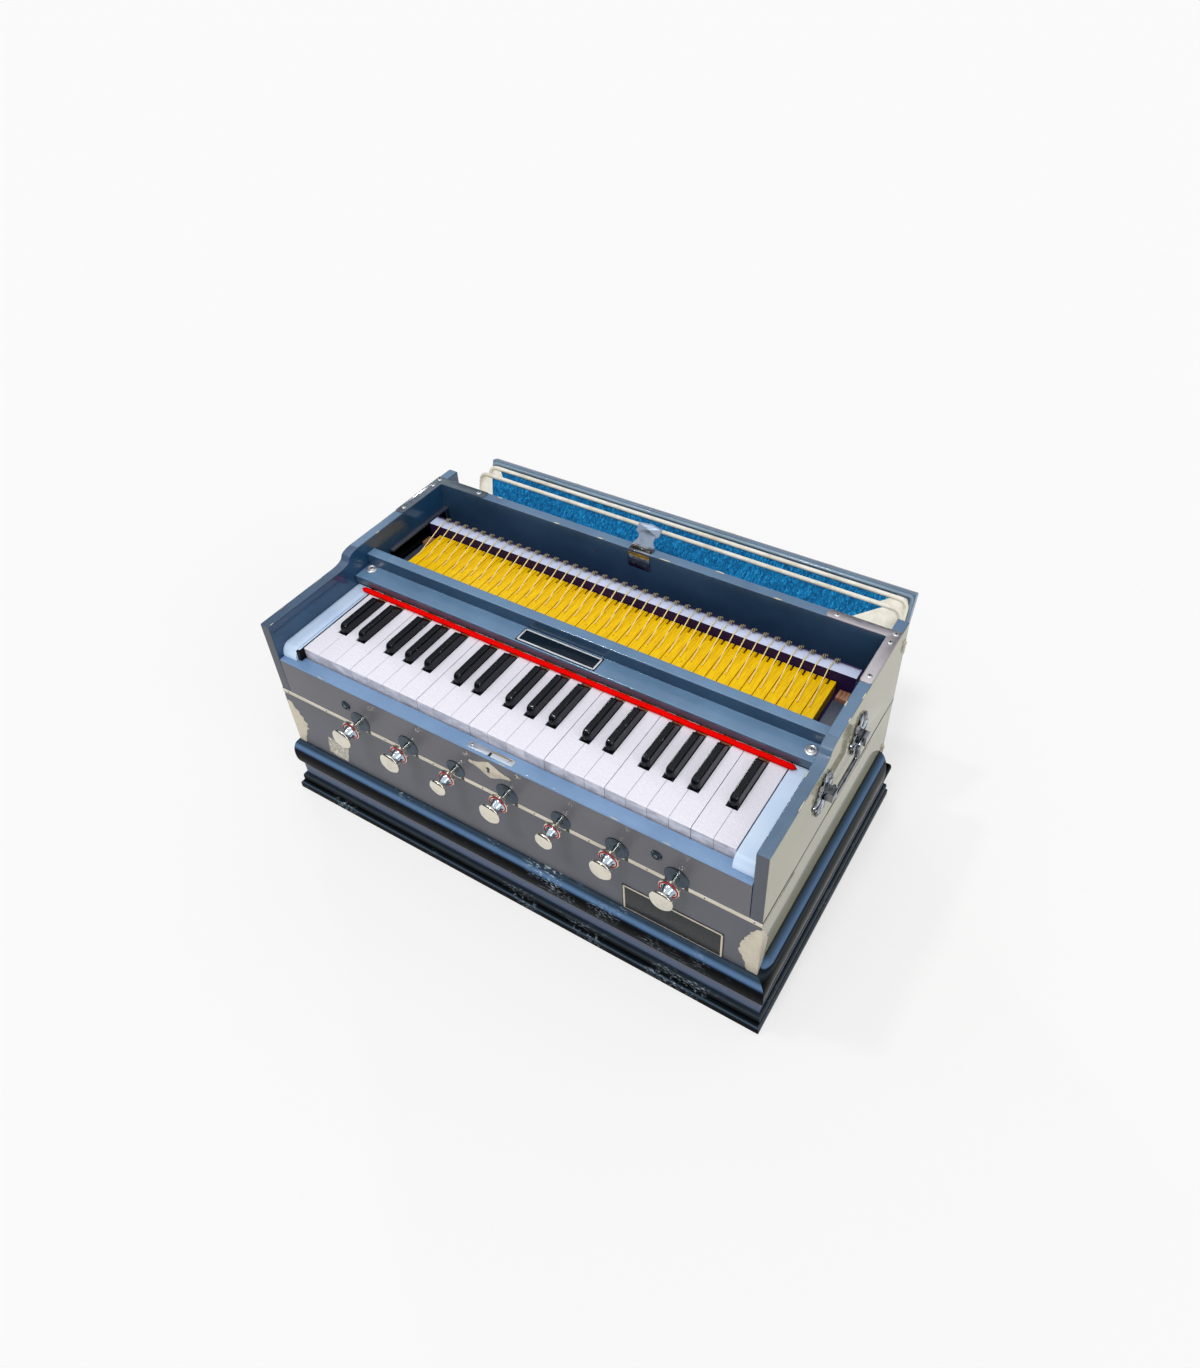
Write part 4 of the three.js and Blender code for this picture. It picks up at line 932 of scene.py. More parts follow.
def shrink_sharp(mesh, centre):
    """Draw the frame's sharp in, so that it stays inside the new one."""
    widen_slit(mesh)
    for vert in mesh.verts:
        place = maker(vert.co)
        if place.y < FELT_Y - 0.8 and place.z > SHARP_FOOT + 0.1:
            vert.co = at(centre + (place.x - centre) * CORE_WIDE_SHARE,
                         CORE_MIDDLE + (place.y - CORE_MIDDLE) * CORE_LONG_SHARE,
                         min(place.z, SHARP_TOP - CORE_LOW))


def sharp_ring(centre, run):
    """One ring of a sharp, at a run back from its nose."""
    near = min(run, NOSE_ROUND) / NOSE_ROUND
    plan = math.sqrt(1 - (1 - near) ** 2)
    climb = min(run, CLIMB_RUN) / CLIMB_RUN
    high = SHARP_NOSE + (SHARP_TOP - SHARP_NOSE) * math.sqrt(1 - (1 - climb) ** 2)
    high -= max(0.0, run - SLOPE_RUN) * SLOPE
    tall = (high - SHARP_FOOT) / (SHARP_TOP - SHARP_FOOT)
    foot, top, r = FOOT_HALF * plan, TOP_HALF * plan, TOP_ROUND * plan
    half = [(foot, SHARP_FOOT), (foot, SHARP_FOOT + 2 * tall), (top + 0.35 * plan, high - 2.2 * tall)]
    half += [(top - r + r * math.cos(a), high - r * tall + r * tall * math.sin(a))
             for a in [math.radians(v) for v in (0, 30, 60, 90)]]
    ring = half + [(-x, z) for x, z in reversed(half)]
    return [at(centre + x, NOSE_Y + run, z) for x, z in ring]


def draw_sharp(mesh, centre):
    """Draw the sharp of one key."""
    runs = [0.06, 0.3, 0.8, 1.5, 2.4, 3.4, NOSE_ROUND, 6.0, CLIMB_RUN, 12, 24, 40, 54, SLOPE_RUN, 58.5, 62,
            FELT_Y - NOSE_Y]
    ring_stack(mesh, [sharp_ring(centre, run) for run in runs])


print("sharp:", round(SHARP_TOP - SHARP_FOOT, 1), "mm high")

# %% Keys
PALLET_FROM, TOP_REAR, BOARD_UNDER = 188, 134.5, 216
key_names = sorted(n for n in frame["nodes"] if "_key_" in n)
for name in key_names:
    if name.startswith("white"):
        rules = [
            (pallet_enamel, lambda p, n: p.y > PALLET_FROM),
            (ivory_top, lambda p, n: p.y < TOP_REAR and n.z > 0.5),
            (ivory_edge, lambda p, n: p.y < TOP_REAR and p.z > BOARD_UNDER),
            (bare_wood, lambda p, n: True),
        ]
        eased_copy(name, 0.2, rules, reshape=widen_head)
    else:
        rules = [
            (pallet_enamel, lambda p, n: p.y > PALLET_FROM),
            # The lever under the sharp is painted black too, which paints the shade in the gaps beside the
            # sharp.
            (ebony_resin, lambda p, n: p.y < TOP_REAR - 0.5),
            (bare_wood, lambda p, n: True),
        ]
        low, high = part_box(name)
        centre = (low.x + high.x) / 2 / MM
        eased_copy(name, 0.3, rules, hard=35,
                   reshape=lambda mesh: shrink_sharp(mesh, centre),
                   added=lambda mesh: draw_sharp(mesh, centre))
print("keys:", len(key_names))

# %% [markdown]
# ## Key springs
# A spring is one wire: two turns round a rod, a leg over the spring rail and a long arm down to the
# pallet. The frame has them with few sides; here the same routes are drawn again with round wire.

# %% Springs
COIL_Y, COIL_Z, COIL_RADIUS, COIL_PITCH = 268.3, 255.85, 2.2, 1.9
TURNS, TURN_STEPS = 2, 14
FIRST_NOTE, NOTE_PITCH = -265.8, 13.533


def spring_route(x):
    """The line of one spring's wire, from its coil to the end of its arm."""
    start = x + COIL_PITCH
    points = [at(start, COIL_Y, COIL_Z)]
    for step in range(TURNS * TURN_STEPS + 1):
        share = step / TURN_STEPS
        angle = math.pi / 2 + 2 * math.pi * share
        points.append(at(start - COIL_PITCH * share, COIL_Y - COIL_RADIUS * math.cos(angle),
                         COIL_Z + COIL_RADIUS * math.sin(angle)))
    leg_and_arm = [(4.2, 258.5, 253.7), (4.6, 255.7, 253.45), (4.4, 250.5, 252.0), (3.0, 209.3, 240.85),
                   (3.0, 206.3, 242.05)]
    return points + [at(x - back, y, z) for back, y, z in leg_and_arm]


centres = [FIRST_NOTE + (note + 0.5) * NOTE_PITCH for note in range(len(key_names))]
springs = wires("key_spring_wires", [spring_route(x) for x in centres], 0.62, "case", spring_brass)
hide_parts("key_springs")
wires("spring_rod", [[at(-280, COIL_Y, COIL_Z), at(280, COIL_Y, COIL_Z)]], 0.9, "case",
      shadow_enamel, rounds=4)
print("springs:", len(centres), "with", len(springs.data.polygons), "faces")

# %% [markdown]
# ## Stops
# Each stop is a knob turned in brass and chromed, on a rod through the front rail. A ring of dark red felt
# is let into its flange, and a thin washer lies on the panel, coloured dark blue-grey as painted shade and
# painted reflection round the stop. A spun profile gives the knob its neck and its domed cap. Two of the
# seven are smaller.

# %% Stops
STOP_Z, SMALL_STOPS = 178.5, (3, 5)
NECK_FROM, NECK_TO = 16.1, 25.4
stop_places = [-181.8, -113.2, -47.9, 18.8, 84.9, 150.2, 216.2]
large = {"cap": 12.8, "flange": 11.5, "collar": 8.4}
small = {"cap": 10.4, "flange": 9.8, "collar": 6.8}
washers = bmesh.new()
for number, x in enumerate(stop_places, 1):
    size = small if number in SMALL_STOPS else large
    cap, flange, collar = (size[part] for part in ("cap", "flange", "collar"))
    k = collar / large["collar"]
    shank = [(0, -50), (6, -50), (6, -44), (3.2, -44), (3.2, 12.5), (flange - 0.5, 12.5),
             (flange, 13), (flange, 15.5), (flange - 0.5, 16)]
    neck = [(8.2 * k, 16), (7.4 * k, 17), (6.9 * k, 19), (6.1 * k, 22), (5.3 * k, 24), (5.4 * k, 24.6),
            (6.8 * k, 25.2)]
    dome = [(collar + 0.6, 25.6), (cap - 1.2, 27.6), (cap - 0.2, 28.2), (cap, 29), (cap, 30),
            (cap - 0.5, 30.8), (cap * 0.8, 31.8), (cap * 0.45, 32.4), (0, 32.5)]
    knob = bmesh.new()
    for face in turned(knob, shank + neck + dome, at(x, 0, STOP_Z), ACROSS, UP, steps=48):
        face.material_index = 2 if NECK_FROM < -maker(face.calc_center_median()).y < NECK_TO else 0
    ring = flange - 0.9
    turned(knob, [(ring - 1.6, 15.9), (ring - 1.5, 16.4), (ring - 0.2, 16.5), (ring, 16.2), (ring, 15.9),
                  (ring - 1.6, 15.9)], at(x, 0, STOP_Z), ACROSS, UP, steps=40, material=1)
    piece = set_down(f"stop_{number}_knob", knob, f"stop_{number}", [chrome_plate, ring_felt, neck_chrome])
    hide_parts(f"stop_{number}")
    # The washer's dark blue-grey is painted shade and painted reflection round the stop.
    broad = flange + 2.2
    turned(washers, [(3.7, 0.05), (3.7, 0.7), (broad - 0.6, 0.8), (broad, 0.3), (broad, 0.05),
                     (3.7, 0.05)], at(x, 0, STOP_Z), ACROSS, UP, steps=40)
set_down("stop_washers_painted_shade", washers, "case", [blued_steel_and_shade])
print("stops:", len(stop_places), "of which small:", len(SMALL_STOPS))

# %% [markdown]
# ## Bellows
# The bellows are a fan of stiff cards between the rear panel and the board. Blue pile cloth covers the
# cards, cream leather is glued over every fold and over the corners. One grid is laid over the folds: it
# runs from foot to foot over the top, and its rows go from the panel through ridges and valleys to the
# board. Card bends little, so only small swellings are added to each panel, and the corners are rounded.

# %% Fold lines
BOARD_ANGLE = math.radians(20.5)
AXIS_Y, AXIS_Z = 332.5, 77.0
BOARD_LENGTH, FOOT_GAP = 198.0, 19.7
FACE_Y, FOLD_FOOT, FOLD_TOP = 312.3, 83.0, 262.0
CLOTH_HALF, RIDGE_HALF, VALLEY_HALF, VALLEY_LIFT = 284.0, 285.2, 267.0, 3


def leaning(out, high, angle):
    """A place beside the bellows board when it leans at an angle, as (y, z) in millimetres."""
    return (AXIS_Y + out * math.cos(angle) + high * math.sin(angle),
            AXIS_Z - out * math.sin(angle) + high * math.cos(angle))


def one_fold(foot, head, half, corner, left, right):
    """A fold line: its foot and head as (y, z), its half width, its corner's radius, and how far the
    leather reaches over the cloth at the left and at the right."""
    return {"foot": foot, "head": head, "half": half, "corner": corner, "left": left, "right": right}


fold_lines = [one_fold((FACE_Y, FOLD_FOOT), (FACE_Y, FOLD_TOP), CLOTH_HALF, 4.0, 30.0, 66.0)]
for share, reach, half, corner, left, right in (
        (0.08, 0.815, VALLEY_HALF, 5.0, 22.0, 50.0), (0.57, 0.945, RIDGE_HALF, 9.0, 17.0, 17.0),
        (0.7, 0.86, VALLEY_HALF, 5.0, 16.0, 28.0), (0.865, 0.965, RIDGE_HALF, 9.0, 15.0, 16.0),
        (0.925, 0.89, VALLEY_HALF, 5.0, 14.0, 20.0)):
    foot = (FACE_Y + FOOT_GAP * (1 + share) / 2, FOLD_FOOT + (VALLEY_LIFT if half == VALLEY_HALF else 0))
    head = leaning(0, BOARD_LENGTH * reach, BOARD_ANGLE * share)
    fold_lines.append(one_fold(foot, head, half, corner, left, right))
fold_lines.append(one_fold(leaning(-0.3, 6, BOARD_ANGLE), leaning(-0.3, 191.07, BOARD_ANGLE), CLOTH_HALF,
                           5.0, 14.0, 14.0))
print("fold lines:", len(fold_lines))

# %% Grid over the folds
SWELL_SIDE, SWELL_TOP, CREASES, CREASE_MM = 0.8, 0.7, 0.45, 9
ROWS_PER_FOLD = 8
SIDE, ROUND, PATCH, TOP = 22, 5, 4, 150
COLUMNS, ROWS = 2 * (SIDE + ROUND + PATCH) + TOP, ROWS_PER_FOLD * (len(fold_lines) - 1)


def fold_line(row):
    """The fold line at a row of the grid, between the ones that are given."""
    index = min(row // ROWS_PER_FOLD, len(fold_lines) - 2)
    share = row / ROWS_PER_FOLD - index
    a, b = fold_lines[index], fold_lines[index + 1]
    mixed = {k: a[k] + (b[k] - a[k]) * share for k in ("half", "corner", "left", "right")}
    for k in ("foot", "head"):
        mixed[k] = tuple(a[k][i] + (b[k][i] - a[k][i]) * share for i in range(2))
    mixed["swell"] = math.sin(math.pi * share)
    return mixed


def fold_point(line, column):
    """A point of a fold line's outline: up one side, round the corner, along the top and down again. It
    is given as (x, y, z) in millimetres, with how far it is up the side, from 0 to 1."""
    half, corner = line["half"], line["corner"]
    (foot_y, foot_z), (head_y, head_z) = line["foot"], line["head"]
    mirror = 1 if column > COLUMNS / 2 else -1
    patch = line["right"] if mirror > 0 else line["left"]
    reached = COLUMNS - column if mirror > 0 else column
    length = math.hypot(head_y - foot_y, head_z - foot_z)
    if reached <= SIDE:
        x, along = half, (length - corner) * reached / SIDE
    elif reached <= SIDE + ROUND:
        angle = math.pi / 2 * (reached - SIDE) / ROUND
        x, along = half - corner + corner * math.cos(angle), length - corner + corner * math.sin(angle)
    elif reached <= SIDE + ROUND + PATCH:
        x, along = half - corner - (patch - corner) * (reached - SIDE - ROUND) / PATCH, length
    else:
        x, along = (half - patch) * (1 - (reached - SIDE - ROUND - PATCH) / (TOP / 2)), length
    share = along / length
    place = Vector((mirror * x, foot_y + (head_y - foot_y) * share, foot_z + (head_z - foot_z) * share))
    return place, min(reached / SIDE, 1.0)


def bellows_point(column, row):
    """The place of one crossing of the grid over the bellows."""
    line = fold_line(row)
    point, climb = fold_point(line, column)
    bulge = line["swell"] * math.sin(math.pi * climb) if climb < 1 else 0
    point.x += math.copysign(SWELL_SIDE * bulge, point.x)
    if climb >= 1:
        point.z += SWELL_TOP * line["swell"]
    point.z += noise.noise(point / CREASE_MM) * CREASES * line["swell"]
    return at(*point)


print("grid:", COLUMNS, "by", ROWS)

# %% Bellows cloth
CLOTH_THICK = 0.8
mesh = bmesh.new()
bmesh.ops.create_grid(mesh, x_segments=COLUMNS, y_segments=ROWS, size=1)
for vert in mesh.verts:
    column = round((vert.co.x + 1) / 2 * COLUMNS)
    row = round((vert.co.y + 1) / 2 * ROWS)
    vert.index, vert.co = column * (ROWS + 1) + row, bellows_point(column, row)
for face in mesh.faces:
    column = sum(v.index // (ROWS + 1) for v in face.verts) / 4
    face.material_index = 1 if min(column, COLUMNS - column) < SIDE + ROUND + PATCH else 0
bmesh.ops.recalc_face_normals(mesh, faces=mesh.faces)
if sum(f.normal.z for f in mesh.faces if f.material_index == 0) < 0:
    bmesh.ops.reverse_faces(mesh, faces=mesh.faces)
bmesh.ops.solidify(mesh, geom=list(mesh.faces), thickness=CLOTH_THICK * MM)


def set_between(name, mesh, finishes):
    """Make a bmesh a finished piece that lies between the case and the bellows board, on no body."""
    piece = made_object(name, mesh, finishes, 60)
    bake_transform(piece)
    return piece


folds = set_between("bellows_cloth", mesh, [pile_cloth, skiver])
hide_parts("bellows_folds")
print("bellows:", len(folds.data.polygons), "faces")

# %% [markdown]
# ## Leather over the folds
# A strip of cream leather is folded over each ridge and glued down on both sides, from foot to foot round
# both corners. It is drawn as a flat round: a ring of points carried along the ridge's own outline.

# %% Bindings
BINDING_WIDE, BINDING_THICK, BINDING_SIDES = 6.0, 2.6, 10


def binding(mesh, line):
    """A leather strip over one fold line."""
    (foot_y, foot_z), (head_y, head_z) = line["foot"], line["head"]
    path = [fold_point(line, column)[0] for column in range(COLUMNS + 1)]
    lean = Vector((0, head_y - foot_y, head_z - foot_z)).normalized()
    side = Vector((0, lean.z, -lean.y))
    heart = Vector((0, (foot_y + head_y) / 2, (foot_z + head_z) / 2))
    rings = []
    for i, point in enumerate(path):
        ahead = path[min(i + 1, len(path) - 1)] - path[max(i - 1, 0)]
        out = side.cross(ahead.normalized())
        out = out if out.dot(point - heart) > 0 else -out
        wave = noise.noise(point / 30) * 0.3
        rings.append([at(*(point + side * (BINDING_WIDE / 2 + wave) * math.cos(a)
                           + out * (BINDING_THICK * (0.1 + math.sin(a)))))
                      for a in [2 * math.pi * k / BINDING_SIDES for k in range(BINDING_SIDES)]])
    ring_stack(mesh, rings)


for label, line in (("inner", fold_lines[2]), ("outer", fold_lines[4])):
    mesh = bmesh.new()
    binding(mesh, line)
    strip = set_between(f"bellows_bindings_{label}", mesh, [skiver])
    print(label, "binding:", len(strip.data.polygons), "faces")

# %% [markdown]
# ## Bellows board
# The board itself is painted like the case. A thin dark strip along its top is painted shade, where a
# rebate would lie. On its inner face a half-round bead runs round the folds, where the cloth is tucked
# under; its paler paint is a painted highlight along its round.

# %% Bellows board
inner_normal = Vector((0, -math.cos(BOARD_ANGLE), math.sin(BOARD_ANGLE)))
bellows_board = eased_copy("bellows_board", 1.0, [
    (front_laminate, lambda p, n: n.dot(inner_normal) < -0.8),
    (edge_enamel, lambda p, n: True),
])


def on_board(x, high, out=0.0):
    """A place on the inner face of the bellows board, in millimetres up from its hinge."""
    y, z = leaning(-out, high, BOARD_ANGLE)
    return at(x, y, z)


half_bead = [(287.3, 12), (287.3, 190.0), (286.6, 192.6), (284.6, 194.2)]
bead_route = [on_board(x, high) for x, high in half_bead + [(-x, high) for x, high in half_bead[::-1]]]
# The bead's paler paint is a painted highlight.
wires("bellows_board_bead", [bead_route], 2.3, "bellows_board", bead_enamel_painted_highlight, rounds=4)
# A thin dark strip on the board's top is painted shade, where a rebate would lie.
mesh = bmesh.new()
slab(mesh, oblong(578, 4.4), 0.12, on_board(0, 197.95, -4.0), ACROSS, -inner_normal, 0)
set_down("bellows_board_painted_shade_strip", mesh, "bellows_board", [board_front_shade_enamel])
print("bellows board:", len(bellows_board.data.polygons), "faces")

# %% [markdown]
# ## Felt under the name board
# A rolled strip of red felt is glued along the front of the name board. Glue and fingers never leave it
# straight, so it wanders by a few tenths of a millimetre.

# %% Felt strip
FELT_START, FELT_END, FELT_STEPS, FELT_SIDES = -279.0, 274.5, 150, 14
FELT_MIDDLE_Y, FELT_MIDDLE_Z, FELT_DEEP, FELT_HIGH = 127.1, 239.3, 3.4, 2.5
WANDER, WANDER_MM, SWELL, SWELL_MM = 0.45, 35, 0.08, 12
felt_rings = []
for i in range(FELT_STEPS + 1):
    x = FELT_START + (FELT_END - FELT_START) * i / FELT_STEPS
    taper = min(1.0, math.sqrt(max(min(x - FELT_START, FELT_END - x), 0.05) / 4.0))
    wander = noise.noise(Vector((x / WANDER_MM, 0, 3))) * WANDER
    swell = 1 + SWELL * noise.noise(Vector((x / SWELL_MM, 5, 0)))
    felt_rings.append([at(x, FELT_MIDDLE_Y + wander + FELT_DEEP * taper * swell * math.cos(a),
                          FELT_MIDDLE_Z + FELT_HIGH * taper * swell * math.sin(a))
                       for a in [2 * math.pi * k / FELT_SIDES for k in range(FELT_SIDES)]])
mesh = bmesh.new()
ring_stack(mesh, felt_rings)
set_down("red_felt_strip", mesh, "case", [red_felt], sharp=60)
print("felt strip:", FELT_END - FELT_START, "mm long")

# %% [markdown]
# ## Screws and small fittings
# Cup washers with raised countersunk screws hold the name board and the front rail. The screw is a turned
# shape with a cross cut in its head, drawn here as two bars let into the metal; where they are dark they are
# painted shade in the slots.

# %% Screws
CUT, CUT_TURNS = 1, (20, 110)


def cross_cut(mesh, place, across, up, length, lift):
    """The cross of a screw head, in the piece's second finish."""
    for turn_deg in CUT_TURNS:
        c, s = math.cos(math.radians(turn_deg)), math.sin(math.radians(turn_deg))
        bar = [(x * c - y * s, x * s + y * c) for x, y in oblong(length, length * 0.24)]
        facing = across.cross(up)
        slab(mesh, bar, 0.25, place + facing * lift * MM, across, up, 0.05, CUT, segments=1)


def cup_screw(mesh, place, across, up, radius=7.0):
    """A raised screw in a cup washer."""
    k = radius / 7.0
    turned(mesh, [(0, 0.05), (7 * k, 0.05), (6.9 * k, 0.8), (6.0 * k, 1.5), (5.0 * k, 1.7),
                  (4.2 * k, 1.2), (3.9 * k, 0.6), (3.6 * k, 0.7), (3.4 * k, 1.2), (2.4 * k, 1.8),
                  (0, 2.1)], place, across, up, steps=32)
    cross_cut(mesh, place, across, up, 3.4 * k, 1.95 * k)


def plain_screw(mesh, place, across, up, radius):
    """A small raised screw head."""
    turned(mesh, [(0, 0.02), (radius, 0.02), (radius, 0.3), (radius * 0.75, 0.8),
                  (radius * 0.4, 1.05), (0, 1.15)], place, across, up, steps=20)
    cross_cut(mesh, place, across, up, radius * 1.2, 0.98)


PANEL_Y = 299
mesh = bmesh.new()
for x, y in ((-281.8, 150.0), (280.2, 145.5)):
    cup_screw(mesh, at(x, y, NAME_TOP), ACROSS, BACK)
set_down("cup_washer_screws", mesh, "case", [worn_nickel_and_highlight, dark_iron_and_shade])
mesh = bmesh.new()
for x, z in ((-198.5, 196), (194.5, 198)):
    cup_screw(mesh, at(x, 0, z), ACROSS, UP, 6.2)
for x, z in ((-63.1, 261.3), (190.2, 231.7)):
    plain_screw(mesh, at(x, PANEL_Y, z), ACROSS, UP, 1.8)
set_down("front_washer_screws", mesh, "case", [blued_steel_and_shade, worn_nickel_and_highlight])
print("screws: 4 in cups, 2 plain")

# %% [markdown]
# ## Lock, nameplate and front plate
# A strike plate is let into the top of the front rail, and a diamond escutcheon covers the keyhole below
# it. The nameplate and the plate on the front are plain plates with a raised rim, and a small worn piece of
# paper is pasted beside them.

# %% Lock
PLATE_THICK, LOCK_X, LOCK_Y, RAIL_TOP = 0.5, -0.5, 7.3, 221.9
PLATE_TOP = RAIL_TOP + PLATE_THICK
mesh = bmesh.new()
slab(mesh, oblong(57, 8.5, 0.8), PLATE_THICK, at(LOCK_X, LOCK_Y, RAIL_TOP), ACROSS, BACK, 0.15)
# The slot in the strike plate is a thin dark slab: painted shade in the opening.
slab(mesh, [(-1.8, -4.3), (1.8, -4.3), (1.2, 0.6), (-1.2, 0.6)], 0.08, at(LOCK_X, LOCK_Y, PLATE_TOP),
     ACROSS, BACK, 0, 1)
slab(mesh, oblong(26, 1.0), 0.06, at(11.5, 9.4, PLATE_TOP), ACROSS, BACK, 0, 2)
for x in (-24, 23):
    plain_screw(mesh, at(x, LOCK_Y, PLATE_TOP), ACROSS, BACK, 1.7)
set_down("lock_strike_plate", mesh, "case", [plate_metal, dark_iron_and_shade, brass_sheet])

KEYHOLE_Z, KEYHOLE_ROUND, SHEET = 204.6, 2.4, 0.6
upper_edge = [(-27, 0), (-25.5, 1.8), (-21, 2.2), (-14, 4.6), (-6, 9.4), (0, 12), (6, 9.4), (14, 4.6),
              (21, 2.2), (25.5, 1.8)]
keyhole = [(KEYHOLE_ROUND * math.sin(math.radians(a)), 1.6 + KEYHOLE_ROUND * math.cos(math.radians(a)))
           for a in range(-150, 151, 30)] + [(1.9, -4.2), (-1.9, -4.2)]
mesh = bmesh.new()
slab(mesh, upper_edge + [(-x, -z) for x, z in upper_edge], SHEET, at(0, 0, KEYHOLE_Z), ACROSS, UP, 0.2)
# The keyhole is a thin dark slab: painted shade in the opening.
slab(mesh, keyhole[::-1], 0.08, at(-1.0, -SHEET, KEYHOLE_Z), ACROSS, UP, 0, 1)
for x in (-22.5, 22.5):
    turned(mesh, [(0, 0), (1.3, 0), (1.2, 0.5), (0, 0.75)], at(x, -SHEET, KEYHOLE_Z), ACROSS, UP, 14)
set_down("keyhole_escutcheon", mesh, "case", [guard_foil, dark_iron_and_shade])
print("lock plates: 2")


# %% Plain plates
def plain_plate(name, place, up, wide, tall, rim, ground, edge):
    """A plate with a raised rim."""
    mesh = bmesh.new()
    slab(mesh, oblong(wide, tall, 1.2), PLATE_THICK, place, ACROSS, up, 0.15)
    lifted = place + ACROSS.cross(up) * PLATE_THICK * MM
    bar = rim * 0.45
    for sx, sy, w, t in ((0, 1, wide - rim, bar), (0, -1, wide - rim, bar),
                         (1, 0, bar, tall - rim), (-1, 0, bar, tall - rim)):
        spot = lifted + ACROSS * (sx * (wide - rim) / 2 * MM) + up * (sy * (tall - rim) / 2 * MM)
        slab(mesh, oblong(w, t), 0.25, spot, ACROSS, up, 0.1, 1, 1)
    set_down(name, mesh, "case", [ground, edge])


plain_plate("bare_nameplate", at(-9, 144.2, NAME_TOP), BACK, 102, 21.5, 4.2, plate_lacquer, silvered_rim)
plain_plate("bare_front_plate", at(211.2, 0, 102.5), UP, 114.5, 43, 4.5, dark_iron_and_shade, guard_foil)
tilt = math.radians(-7)
sticker_across = Vector((math.cos(tilt), 0, math.sin(tilt)))
sticker_up = Vector((-math.sin(tilt), 0, math.cos(tilt)))
mesh = bmesh.new()
slab(mesh, [(-15.5, 14.0), (-16.5, -13.5), (-4, -15), (12.5, -12.5), (16.5, 14.5), (2, 15.5)][::-1],
     0.15, at(-236, 0, 102), sticker_across, sticker_up, 0)
set_down("bare_sticker_place", mesh, "case", [bare_paper])
print("plain plates: 2, bare paper: 1")

# %% [markdown]
# ## Parting strip
# Where the upper case sits on the lower one, a strip of cream celluloid is pinned along the front and the
# sides. Its pins are no bigger than a pinhead. Along part of each side it is missing, and the dark joint
# shows. Beside each stop the strip is cut away, which a dark sliver on either side of the washer draws.

# %% Parting strip
STRIP_WIDE, STRIP_THICK, STRIP_Z, JOINT_Z, SHADOW_Z = 5.6, 0.35, 168.2, 170.4, 171.2
mesh = bmesh.new()
slab(mesh, oblong(2 * CASE_HALF, STRIP_WIDE), STRIP_THICK, at(0, 0, STRIP_Z), ACROSS, UP, 0.12)
for number, x in enumerate(stop_places, 1):
    beside = 7.8 if number in SMALL_STOPS else 10.6
    for way in (-1, 1):
        slab(mesh, oblong(4.4, 5.7), 0.42, at(x + way * beside, 0, STRIP_Z), ACROSS, UP, 0, 1)
for side in (-1, 1):
    for start, end, bands in (
            (0, 69, ((STRIP_WIDE, 0.3, STRIP_Z, 0.12, 3), (0.9, 0.34, SHADOW_Z, 0, 1))),
            (149, 304, ((STRIP_WIDE, 0.3, STRIP_Z, 0.12, 3), (0.9, 0.34, SHADOW_Z, 0, 1))),
            (69, 149, ((2.8, 0.1, JOINT_Z, 0, 1),)), (304, 331, ((2.8, 0.1, JOINT_Z, 0, 1),))):
        for wide, thick, z, ease, material in bands:
            slab(mesh, oblong(end - start, wide), thick, at(CASE_HALF * side, (start + end) / 2, z),
                 BACK * side, UP, ease, material)
pins = (-296, -236, -148, -80, -14, 52, 118, 184, 246, 297)
for x in pins:
    turned(mesh, [(0, 0), (0.9, 0), (0.8, 0.25), (0, 0.45)], at(x, -STRIP_THICK, STRIP_Z - 0.3), ACROSS, UP,
           12, material=2)
set_down("parting_strip", mesh, "case", [cream_strip, dark_iron_and_shade, blued_steel_and_shade, side_laminate])
print("parting strip with", len(pins), "pins")

# %% [markdown]
# ## Corner fittings
# Aluminium angles are screwed over the rear top corners, and pieces of nickel foil, cut by hand with a
# ragged edge, protect the lower front corners.

# %% Corner brackets
BRACKET_Z, BRACKET_THICK = 281.45, 0.9
angle_outline = [(304.6, 227.5), (304.6, 311.6), (227.5, 311.6), (225.4, 309.5), (225.4, 301.5),
                 (227.5, 299.2), (290.5, 299.2), (291.8, 297.9), (291.8, 227.5), (294, 225.4),
                 (302.4, 225.4)]
for side, label, sheet in ((-1, "left", bracket_enamel), (1, "right", aluminium)):
    mesh = bmesh.new()
    outline = [(x * side, y) for x, y in angle_outline]
    outline = outline if side > 0 else outline[::-1]
    slab(mesh, outline, BRACKET_THICK, at(0, 0, BRACKET_Z), ACROSS, BACK, 0.25)
    for x, y in ((298.6, 291.6), (298.6, 235.6), (236.3, 305.4), (299.4, 305.8)):
        before = set(mesh.faces)
        plain_screw(mesh, at(x * side, y, BRACKET_Z + BRACKET_THICK), ACROSS, BACK, 3.0)
        for face in mesh.faces:
            if face not in before and face.material_index == 0:
                face.material_index = 2
    set_down(f"corner_bracket_{label}", mesh, "case", [sheet, blued_steel_and_shade, worn_nickel_and_highlight])
print("corner brackets: 2")

